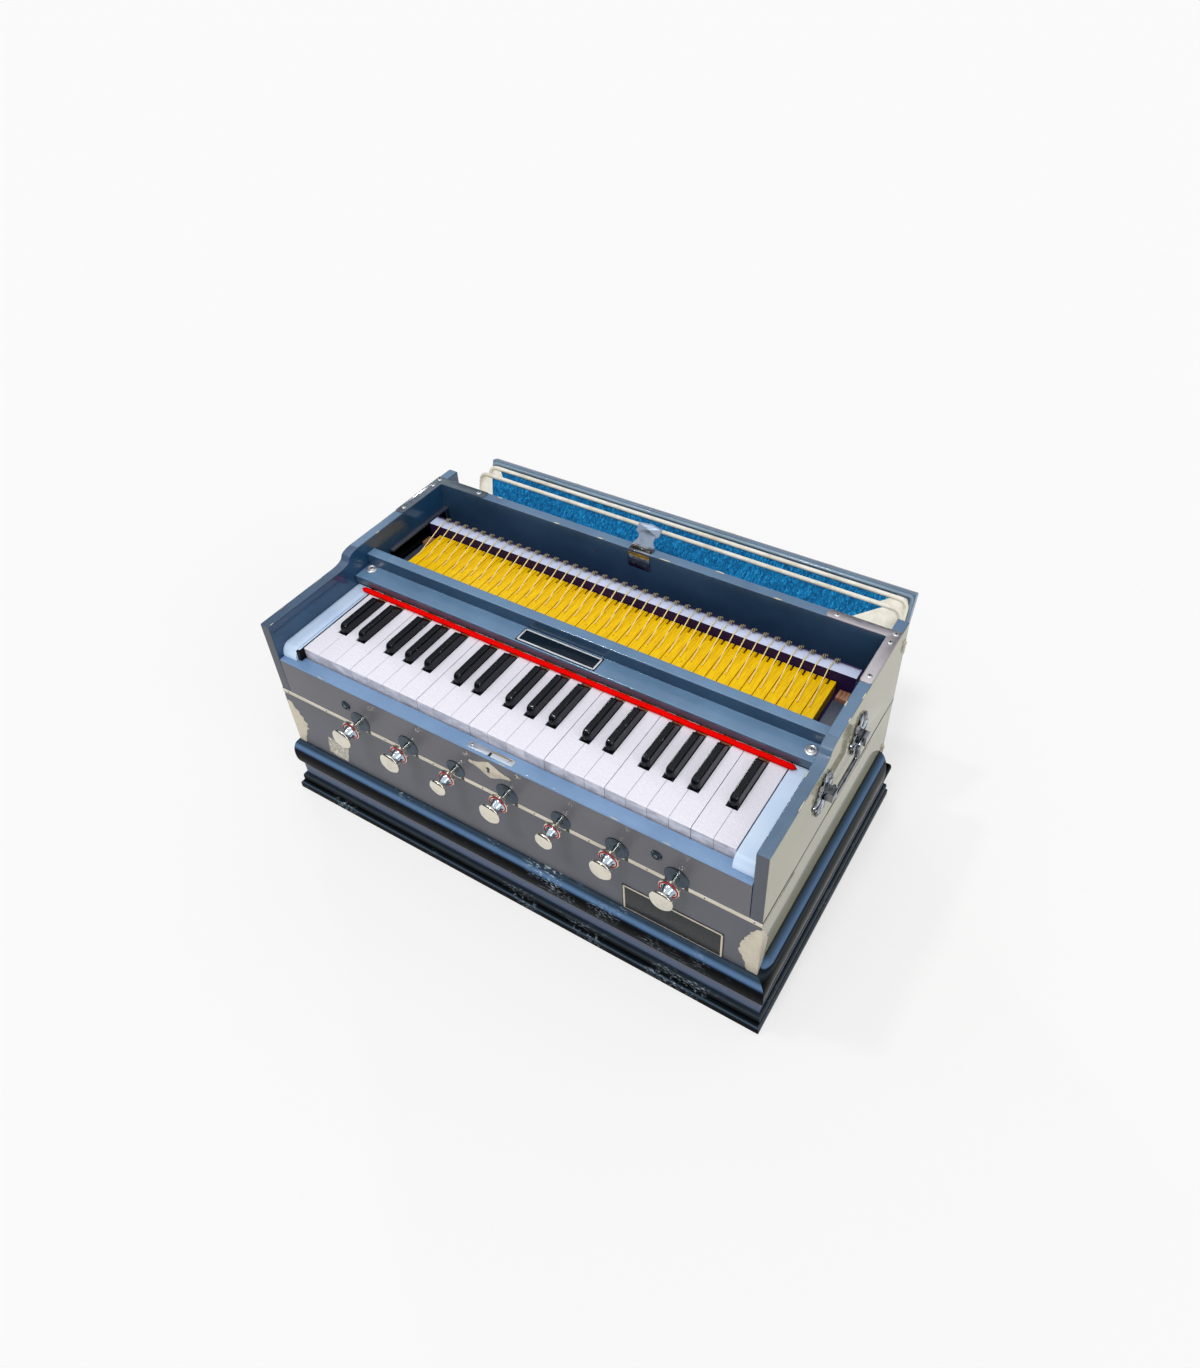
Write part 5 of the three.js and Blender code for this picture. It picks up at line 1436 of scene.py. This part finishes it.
# %% Corner guards
FOIL = 0.3
ragged_right = [(305, 67.5), (305, 160.5), (300, 158.5), (297.5, 153), (293.6, 149.5), (294.6, 147),
                (291.9, 143), (290.5, 139), (288.5, 136.5), (289, 133), (286.5, 130), (284.5, 122),
                (285.5, 118), (283.2, 113.2), (285, 108), (287.9, 104.9), (288.5, 100), (291.6, 95.5),
                (292, 88), (294.5, 83), (296, 75.5), (299.5, 72)]
ragged_left = [(-305, 67.5), (-298, 72), (-296.5, 80), (-294, 86), (-292, 95), (-288.5, 101),
               (-286, 110), (-281, 113.5), (-284, 117), (-280.5, 122), (-286, 126), (-284.5, 131),
               (-289.5, 134), (-289, 139), (-294.5, 143), (-296.9, 151), (-301, 152.5), (-305, 151.5)]
wrap = [(0, 67.5), (4, 75), (8.5, 84), (10, 96), (12.5, 104.9), (15.1, 115.5), (17.6, 127.6),
        (14, 131), (15.5, 137), (10, 143), (7.8, 149.7), (3, 157), (0, 160.5)]
mesh = bmesh.new()
slab(mesh, ragged_right[::-1], FOIL, at(0, 0, 0), ACROSS, UP, 0.1)
slab(mesh, ragged_left, FOIL, at(0, 0, 0), ACROSS, UP, 0.1)
slab(mesh, wrap, FOIL, at(CASE_HALF, 0, 0), BACK, UP, 0.1)
slab(mesh, [(-y, z) for y, z in wrap][::-1], FOIL, at(-CASE_HALF, 0, 0), -BACK, UP, 0.1)
guards = set_down("corner_guards", mesh, "case", [guard_foil])
print("corner guards:", len(guards.data.polygons), "faces")

# %% [markdown]
# ## Latch
# The latch clip is cut from polished sheet steel: a stem with a waist, and a head pressed into four
# facets. It turns on a barrel over the rear panel, and its base plate is screwed to the panel's inner
# face. Stem and head are slabs cut from an outline; the facets come from an inset that is raised in the
# middle.

# %% Latch
STEM_START, STEM_RUN = (305.5, 284.0), Vector((0, 19, 22)).normalized()
STEM_SHEET, HEAD_SHEET, FACET_HIGH = 1.3, 1.4, 1.3


def on_stem(along, out=0.0):
    """A place on the latch's sheet, up from its barrel and out from the sheet, in millimetres."""
    facing = ACROSS.cross(STEM_RUN)
    return at(0, *STEM_START) + (STEM_RUN * along + facing * out) * MM


mesh = bmesh.new()
turned(mesh, [(0, -14), (2.0, -14), (2.2, -13.7), (2.2, -5.1), (1.9, -5), (1.9, -4.8), (2.2, -4.7),
              (2.2, 4.7), (1.9, 4.8), (1.9, 5), (2.2, 5.1), (2.2, 13.7), (2.0, 14), (0, 14)],
       on_stem(0), BACK, UP, steps=24)
stem = [(14, 0.5), (13.6, 3.6), (10.6, 7.5), (10, 10), (10.6, 13), (12, 15.5)]
stem = [(-14, 0.5)] + stem + [(-x, y) for x, y in stem[:0:-1]]
slab(mesh, stem, STEM_SHEET, on_stem(0, -STEM_SHEET), ACROSS, STEM_RUN, 0.3, 1)
head = [(-13.2, 14.6), (13.2, 14.6), (15, 17), (15.8, 25.6), (3, 28.2), (-14.6, 26.6), (-15.2, 17)]
head_faces = slab(mesh, head, HEAD_SHEET, on_stem(0, -HEAD_SHEET), ACROSS, STEM_RUN, 0.3, 1)
lid = max((f for f in head_faces if f.is_valid), key=lambda f: f.calc_area() * (f.normal.z > 0))
bmesh.ops.inset_region(mesh, faces=[lid], thickness=HEAD_SHEET * MM, depth=0)
peak = bmesh.ops.poke(mesh, faces=[lid])["verts"]
bmesh.ops.translate(mesh, verts=peak, vec=ACROSS.cross(STEM_RUN) * FACET_HIGH * MM)
latch = set_down("latch_clip_sheet", mesh, "latch_clip", [dark_chrome, polished_steel], sharp=12)
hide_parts("latch_clip")
print("latch:", len(latch.data.polygons), "faces")

# %% Base plate of the latch
mesh = bmesh.new()
slab(mesh, oblong(29, 21, 2.5), 0.7, at(-1.7, PANEL_Y, 268.5), ACROSS, UP, 0.2)
slab(mesh, oblong(27, 2.4), 0.5, at(-1.7, 298.6, 277.3), ACROSS, UP, 0.15, 2)
slab(mesh, oblong(28.5, 12.5), 0.25, at(-1.4, 304.6, 281.5), ACROSS, BACK, 0.1)
for x in (-8.5, 5.5):
    plain_screw(mesh, at(x, 298.3, 263.5), ACROSS, UP, 2.3)
base_plate = set_down("latch_base_plate", mesh, "case", [dark_chrome, dark_iron_and_shade, brass_sheet])
print("base plate:", len(base_plate.data.polygons), "faces")

# %% [markdown]
# ## Handles
# The drop handles hang between square bosses on cast plates with scrolled ornament. The castings are open:
# between their petals the side shows through, and behind them lies a dark lobed sheet, which is painted shade
# under the casting. Petals are slabs with a raised spine, scrolls are wires, and the studs are turned.

# %% Drop handles
SIDES = ((1, "right"), (-1, "left"))
BAIL_X, BAIL_FRONT, BAIL_REAR, BAIL_LOW, BAIL_BEND, BAIL_RADIUS = 312, 126.8, 197.2, 214.0, 4.0, 2.6
HANDLE_Z, SHOULDER, BEND_STEPS = 232, 6, 8


def bail_route(side):
    """The middle line of a drop handle's rod: out of a boss, down, along the grip and up again."""
    bend, near, far = (BAIL_BEND, BAIL_BEND), BAIL_FRONT + SHOULDER, BAIL_REAR - SHOULDER
    high, low = HANDLE_Z - BAIL_BEND, BAIL_LOW + BAIL_BEND
    line = [(BAIL_FRONT, HANDLE_Z)]
    line += arc((near - BAIL_BEND, high), bend, 90, 0, BEND_STEPS)
    line += arc((near + BAIL_BEND, low), bend, 180, 270, BEND_STEPS)
    line += arc((far - BAIL_BEND, low), bend, -90, 0, BEND_STEPS)
    line += arc((far + BAIL_BEND, high), bend, 180, 90, BEND_STEPS)
    line += [(BAIL_REAR, HANDLE_Z)]
    return [at(side * BAIL_X, y, z) for y, z in line]


for side, label in SIDES:
    bail = wires(f"handle_{label}_bail", [bail_route(side)], BAIL_RADIUS, f"handle_{label}", dark_chrome,
                 rounds=6)
    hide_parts(f"handle_{label}")
print("drop handles:", len(SIDES))

# %% Shapes of the castings
PETAL_THICK, SPINE = 2.0, 1.1


def spiral(cy, cz, radius, start, sweep, inner=0.25, steps=18):
    """A scroll that winds in, as (y, z) in millimetres."""
    points = []
    for i in range(steps + 1):
        share = i / steps
        r = radius * (1 - (1 - inner) * share)
        a = math.radians(start + sweep * share)
        points.append((cy + r * math.cos(a), cz + r * math.sin(a)))
    return points


def petal(mesh, place, across, up, length, width):
    """A leaf of the casting, from the boss outwards, with a raised spine."""
    outline = [(-width * 0.2, 6.5), (width * 0.2, 6.5), (width * 0.5, length * 0.5),
               (width * 0.32, length * 0.68), (width * 0.42, length * 0.8), (width * 0.12, length * 0.92),
               (0, length), (-width * 0.12, length * 0.92), (-width * 0.42, length * 0.8),
               (-width * 0.32, length * 0.68), (-width * 0.5, length * 0.5)]
    faces = slab(mesh, outline, PETAL_THICK, place, across, up, 0.3)
    facing = across.cross(up)
    lid = max((f for f in faces if f.is_valid), key=lambda f: f.calc_area() * (f.normal.dot(facing) > 0.9))
    peak = bmesh.ops.poke(mesh, faces=[lid])["verts"]
    bmesh.ops.translate(mesh, verts=peak, vec=facing * SPINE * MM)


EYE_Y, EYE_Z = 10.0, 16.0
scroll = spiral(EYE_Y, EYE_Z, 6.2, -150, 430)
leaf = [(5.5, 6.0), (9.5, 8.0), (14.5, 9.2), (18.0, 6.5), (19.2, 2.5)]
stalk = [(4.0, 12.0), (5.2, 18.0), (3.4, 24.5)]
ornament = [[(sy * y, sz * z) for y, z in line] for sy in (-1, 1) for sz in (-1, 1)
            for line in (scroll, leaf, stalk)]
print("lines of ornament:", len(ornament))

# %% Castings
CAST_X, SCROLL_X, BOSSES, SHADOW_BACKING_THICK = 305.05, 306.6, (118, 206), 0.7
shadow_backing = [(radius * math.cos(a), radius * math.sin(a)) for a, radius in
           [(math.radians(v), 17 + 7.5 * math.cos(math.radians(4 * v))) for v in range(0, 360, 8)]]
for side, label in SIDES:
    across, routes, cast = BACK * side, [], bmesh.new()
    for centre in BOSSES:
        routes += [[at(side * SCROLL_X, centre + y, HANDLE_Z + z) for y, z in line] for line in ornament]
        middle = at(side * CAST_X, centre, HANDLE_Z)
        # A dark lobed sheet under each casting: painted shade.
        slab(cast, shadow_backing, SHADOW_BACKING_THICK, middle, across, UP, 0.2, 1)
        for turn_deg, length, width in ((0, 27.5, 10), (180, 27.5, 10), (90, 21, 9), (270, 21, 9)):
            c, s = math.cos(math.radians(turn_deg)), math.sin(math.radians(turn_deg))
            petal(cast, middle, across * c + UP * s, UP * c - across * s, length, width)
        for y, z in ((EYE_Y, EYE_Z), (-EYE_Y, EYE_Z), (EYE_Y, -EYE_Z), (-EYE_Y, -EYE_Z)):
            turned(cast, [(0, 0.02), (2.4, 0.02), (2.3, 1.6), (1.4, 2.6), (0, 2.9)],
                   middle + (BACK * y + UP * z) * MM, across, UP, 16)
    wires(f"handle_{label}_scrolls", routes, 1.3, "case", dark_chrome, rounds=1)
    set_down(f"handle_{label}_petals", cast, "case", [neck_chrome, dark_iron_and_shade])
print("castings:", len(SIDES) * len(BOSSES))

# %% [markdown]
# ## Small things in the well
# Beside the last pallets a slate-coloured board closes the well, with a piece of bare wood under the end of
# the spring rail. A black strip along each cheek and a black sheet on the left cheek's inner face are painted
# shade. Beside the first key the block is made up with a painted filler, and a black strip and wedge paint
# the shade in its gap.

# %% Well fittings
SLATE, HARDWOOD, BLACK_SHADE, PALE = range(4)
WELL_FLOOR, BLOCK_TOP = 226.5, 222.4
mesh = bmesh.new()
for side in (-1, 1):
    slab(mesh, oblong(14.5, 46), 6.5, at(side * 273.4, 213, WELL_FLOOR), ACROSS, BACK, 0.6, SLATE)
    slab(mesh, oblong(16, 13), 7.4, at(side * 274.8, 246, WELL_FLOOR), ACROSS, BACK, 0.6, HARDWOOD)
    # The black strip along each cheek and the black sheet on the left cheek's inner face are painted shade.
    slab(mesh, oblong(7.5, 112), 9, at(side * 287.6, 228, WELL_FLOOR), ACROSS, BACK, 0.4, BLACK_SHADE)
slab(mesh, oblong(105, 20), 0.4, at(-292.4, 245, 237), BACK, UP, 0, BLACK_SHADE)
slab(mesh, oblong(6.5, 106), 3.0, at(-289.2, 244.8, 247.4), ACROSS, BACK, 0.5, SLATE)
# The black strip and wedge beside the first key paint the shade in its gap.
for outer, inner, near, far, tall, ease, material in (
        (-270.9, -268.9, 13, 131, 14.0, 0.2, PALE), (-268.8, -266.9, 12, 131, 13.4, 0.2, BLACK_SHADE),
        (-271.4, -266.8, 10, 13, 13.6, 0.3, BLACK_SHADE)):
    slab(mesh, [(outer, near), (inner, near), (inner, far), (outer, far)], tall, at(0, 0, BLOCK_TOP),
         ACROSS, BACK, ease, material)
well = set_down("well_fittings", mesh, "case", [slate_enamel, dark_wood, black_lacquer, block_enamel])
print("well fittings:", len(well.data.polygons), "faces")

# %% [markdown]
# ## Wear and small hardware
# Along the top edges the paint has chipped down to the pale primer in a few places. A chip is a thin ragged
# slab. On the right cheek's top, pale metal slabs of the same ragged shape are painted highlights. At the
# rear of the right side hang two small cover hooks, one above the other.

# %% Chips
REAR_EDGE_Z, FRONT_EDGE_Z, RAIL_EDGE_Z, CHIP_SIDES = 281.47, 268.47, 221.6, 10


def chip(mesh, place, across, up, length, width):
    """A ragged slab where the paint is gone; on the right cheek the same slab is a painted highlight."""
    ragged = []
    for step in range(CHIP_SIDES):
        angle = 2 * math.pi * step / CHIP_SIDES
        reach = 1 + 0.35 * noise.noise(place * 300 + Vector((step, 0, 0)))
        ragged.append((length / 2 * math.cos(angle) * reach, width / 2 * math.sin(angle) * reach))
    slab(mesh, ragged, 0.1, place, across, up, 0)


mesh = bmesh.new()
for x, y, length in ((-115.7, 299.9, 8), (-54.7, 299.9, 8), (32, 299.9, 14), (-208, 310.8, 7),
                     (96, 310.8, 11), (171, 299.9, 9)):
    chip(mesh, at(x, y, REAR_EDGE_Z), ACROSS, BACK, length, 1.9)
for x, y, length in ((-304.3, 262, 13), (-304.2, 196, 9), (-292.9, 181, 7), (304.2, 208, 10),
                     (293.0, 190, 8), (304.3, 171, 6)):
    chip(mesh, at(x, y, REAR_EDGE_Z), BACK, -ACROSS, length, 1.2)
for x, y, length in ((-304.2, 88, 12), (-304.2, 31, 8), (-293, 6, 5), (304.2, 66, 14), (293, 101, 9)):
    chip(mesh, at(x, y, FRONT_EDGE_Z), BACK, -ACROSS, length, 1.2)
for x in (-230, 18, 149, 205):
    chip(mesh, at(x, 1.0, RAIL_EDGE_Z), ACROSS, BACK, 9, 0.9)
set_down("paint_chips", mesh, "case", [primer])
mesh = bmesh.new()
for x, length in ((-160, 9), (-105, 9), (61, 12), (188, 7)):
    chip(mesh, on_board(x, 197.97, -9.4), ACROSS, -inner_normal, length, 1.7)
set_down("board_paint_chips", mesh, "bellows_board", [primer])

# Pale metal lines on the right cheek's top are painted highlights.
mesh = bmesh.new()
for y in (119.2, 121, 123, 153.5, 155.5, 157):
    chip(mesh, at(297.6 + 0.8 * math.sin(y), y, FRONT_EDGE_Z), ACROSS, BACK, 11, 1.0)
scuffs_and_highlights = set_down("cheek_painted_highlights", mesh, "case", [worn_nickel_and_highlight])
print("scuffs:", len(scuffs_and_highlights.data.polygons), "faces")

# %% Cover hooks
HOOK_Y, HOOK_SHEET = 325.5, 0.8
mesh = bmesh.new()
for z, length in ((259, 15), (98, 10)):
    eye = at(CASE_HALF, HOOK_Y, z)
    slab(mesh, oblong(6, 5, 1.2), HOOK_SHEET, eye, BACK, UP, 0.2)
    turned(mesh, [(0, 0), (1.4, 0), (1.4, 2.0), (1.0, 2.6), (0, 2.8)], eye, BACK, UP, 14)
    slab(mesh, [(-1.2, 1), (-2.6, -length * 0.5), (-1.6, -length), (1.6, -length), (2.6, -length * 0.5),
                (1.2, 1)], HOOK_SHEET, eye + ACROSS * MM, BACK, UP, 0.25)
hooks = set_down("cover_hooks", mesh, "case", [guard_foil])
print("hooks:", len(hooks.data.polygons), "faces")

# %% [markdown]
# ## Floor and light
# The instrument stands on a plain pale floor under an even studio sky. To the camera the floor is partly
# its own paper white, so that the shadow on it stays but is faint. The room that mirrors see is white
# underfoot and has a wide white ceiling over grey walls, which gives chrome its dark bands and lets paint
# keep its colour.

# %% Floor
PAPER, PAPER_SHARE, MIRRORED_LESS, FLOOR_SIZE, FLOOR_DOWN = "#F8F8F8", 0.62, -0.3, 6.0, 0.0004
floor_finish, tree, surface, place = new_finish("pale_studio_floor")
grit = clouds(tree, place, 40, detail=2)
shade = add_node(tree, "ShaderNodeMix", {0: grit, 6: srgb("#F2F2F2"), 7: srgb("#F3F3F3")}, data_type="RGBA")
feed(tree, surface, {"Base Color": shade.outputs[2], "Roughness": 1.0, "Specular IOR Level": 0.0})
rays = add_node(tree, "ShaderNodeLightPath")
looked_at = add_node(tree, "ShaderNodeMath", {0: rays.outputs["Is Camera Ray"],
                     1: rays.outputs["Is Glossy Ray"]}, operation="MAXIMUM").outputs[0]
paper_share = add_node(tree, "ShaderNodeMath", {0: looked_at, 1: PAPER_SHARE},
                       operation="MULTIPLY").outputs[0]
mirror_level = add_node(tree, "ShaderNodeMath", {0: rays.outputs["Is Glossy Ray"], 1: MIRRORED_LESS, 2: 1.0},
                        operation="MULTIPLY_ADD").outputs[0]
paper = add_node(tree, "ShaderNodeEmission", {"Color": srgb(PAPER), "Strength": mirror_level}).outputs[0]
mixed = add_node(tree, "ShaderNodeMixShader", {0: paper_share, 1: surface.outputs[0], 2: paper})
tree.links.new(mixed.outputs[0], tree.nodes["Material Output"].inputs["Surface"])
mesh = bmesh.new()
bmesh.ops.create_grid(mesh, x_segments=2, y_segments=2, size=FLOOR_SIZE)
bmesh.ops.translate(mesh, verts=mesh.verts, vec=(0, 0, -FLOOR_DOWN))
made_object("studio_floor", mesh, [floor_finish], 35)
print("floor:", 2 * FLOOR_SIZE, "m wide")

# %% Sky
SKY_STRENGTH = 0.57
world = bpy.data.worlds.new("studio_sky")
bpy.context.scene.world = world
world.use_nodes = True
tree = world.node_tree
sky = tree.nodes["Background"]
feed(tree, sky, {"Color": srgb("#FFFFFF"), "Strength": SKY_STRENGTH})
way = add_node(tree, "ShaderNodeSeparateXYZ",
               {"Vector": tree.nodes.new("ShaderNodeTexCoord").outputs["Generated"]}).outputs["Z"]
room = add_node(tree, "ShaderNodeValToRGB", {"Fac": way})
walls = ((0.0, "#D8D8D8"), (0.05, "#70767C"), (0.28, "#34383E"), (0.56, "#50565E"), (0.84, PAPER))
set_shades(room, walls)
rays = add_node(tree, "ShaderNodeLightPath")
mirrored = add_node(tree, "ShaderNodeBackground", {"Color": room.outputs["Color"], "Strength": 1.0})
paper = add_node(tree, "ShaderNodeBackground", {"Color": srgb(PAPER), "Strength": 1.0})
looked_at = add_node(tree, "ShaderNodeMath", {0: rays.outputs["Is Camera Ray"],
                     1: rays.outputs["Is Transmission Ray"]}, operation="MAXIMUM").outputs[0]
both = add_node(tree, "ShaderNodeMixShader", {0: rays.outputs["Is Glossy Ray"], 1: sky.outputs[0],
                2: mirrored.outputs[0]})
every = add_node(tree, "ShaderNodeMixShader", {0: looked_at, 1: both.outputs[0], 2: paper.outputs[0]})
tree.links.new(every.outputs[0], tree.nodes["World Output"].inputs["Surface"])
print("sky with", len(walls), "shades in its mirror image")

# %% [markdown]
# ## Lamps
# One soft sun from above in front and a weaker, much wider one from the right shape the case. Two small
# weak ones, from the upper left and from the left rear, add what a soft light can't: a bright line along
# each polished edge.

# %% Lamps
def studio_sun(name, strength, spread_deg, towards):
    """A lamp as wide as its spread that shines one way."""
    lamp = bpy.data.lights.new(name, "SUN")
    lamp.energy, lamp.angle = strength, math.radians(spread_deg)
    holder = bpy.data.objects.new(name, lamp)
    holder.rotation_mode = "QUATERNION"
    holder.rotation_quaternion = Vector(towards).to_track_quat("-Z", "Y")
    bpy.context.scene.collection.objects.link(holder)


studio_sun("key_lamp", 1.15, 10, (0.05, 0.5, -1.0))
studio_sun("side_lamp", 0.6, 40, (-1.0, 0.25, -0.55))
studio_sun("front_edge_lamp", 0.35, 4, (0.42, 0.1, -0.9))
studio_sun("rear_edge_lamp", 0.25, 4, (0.75, -0.6, -0.35))
bpy.context.scene.view_settings.view_transform = "Standard"
print("lamps:", len(bpy.data.lights))
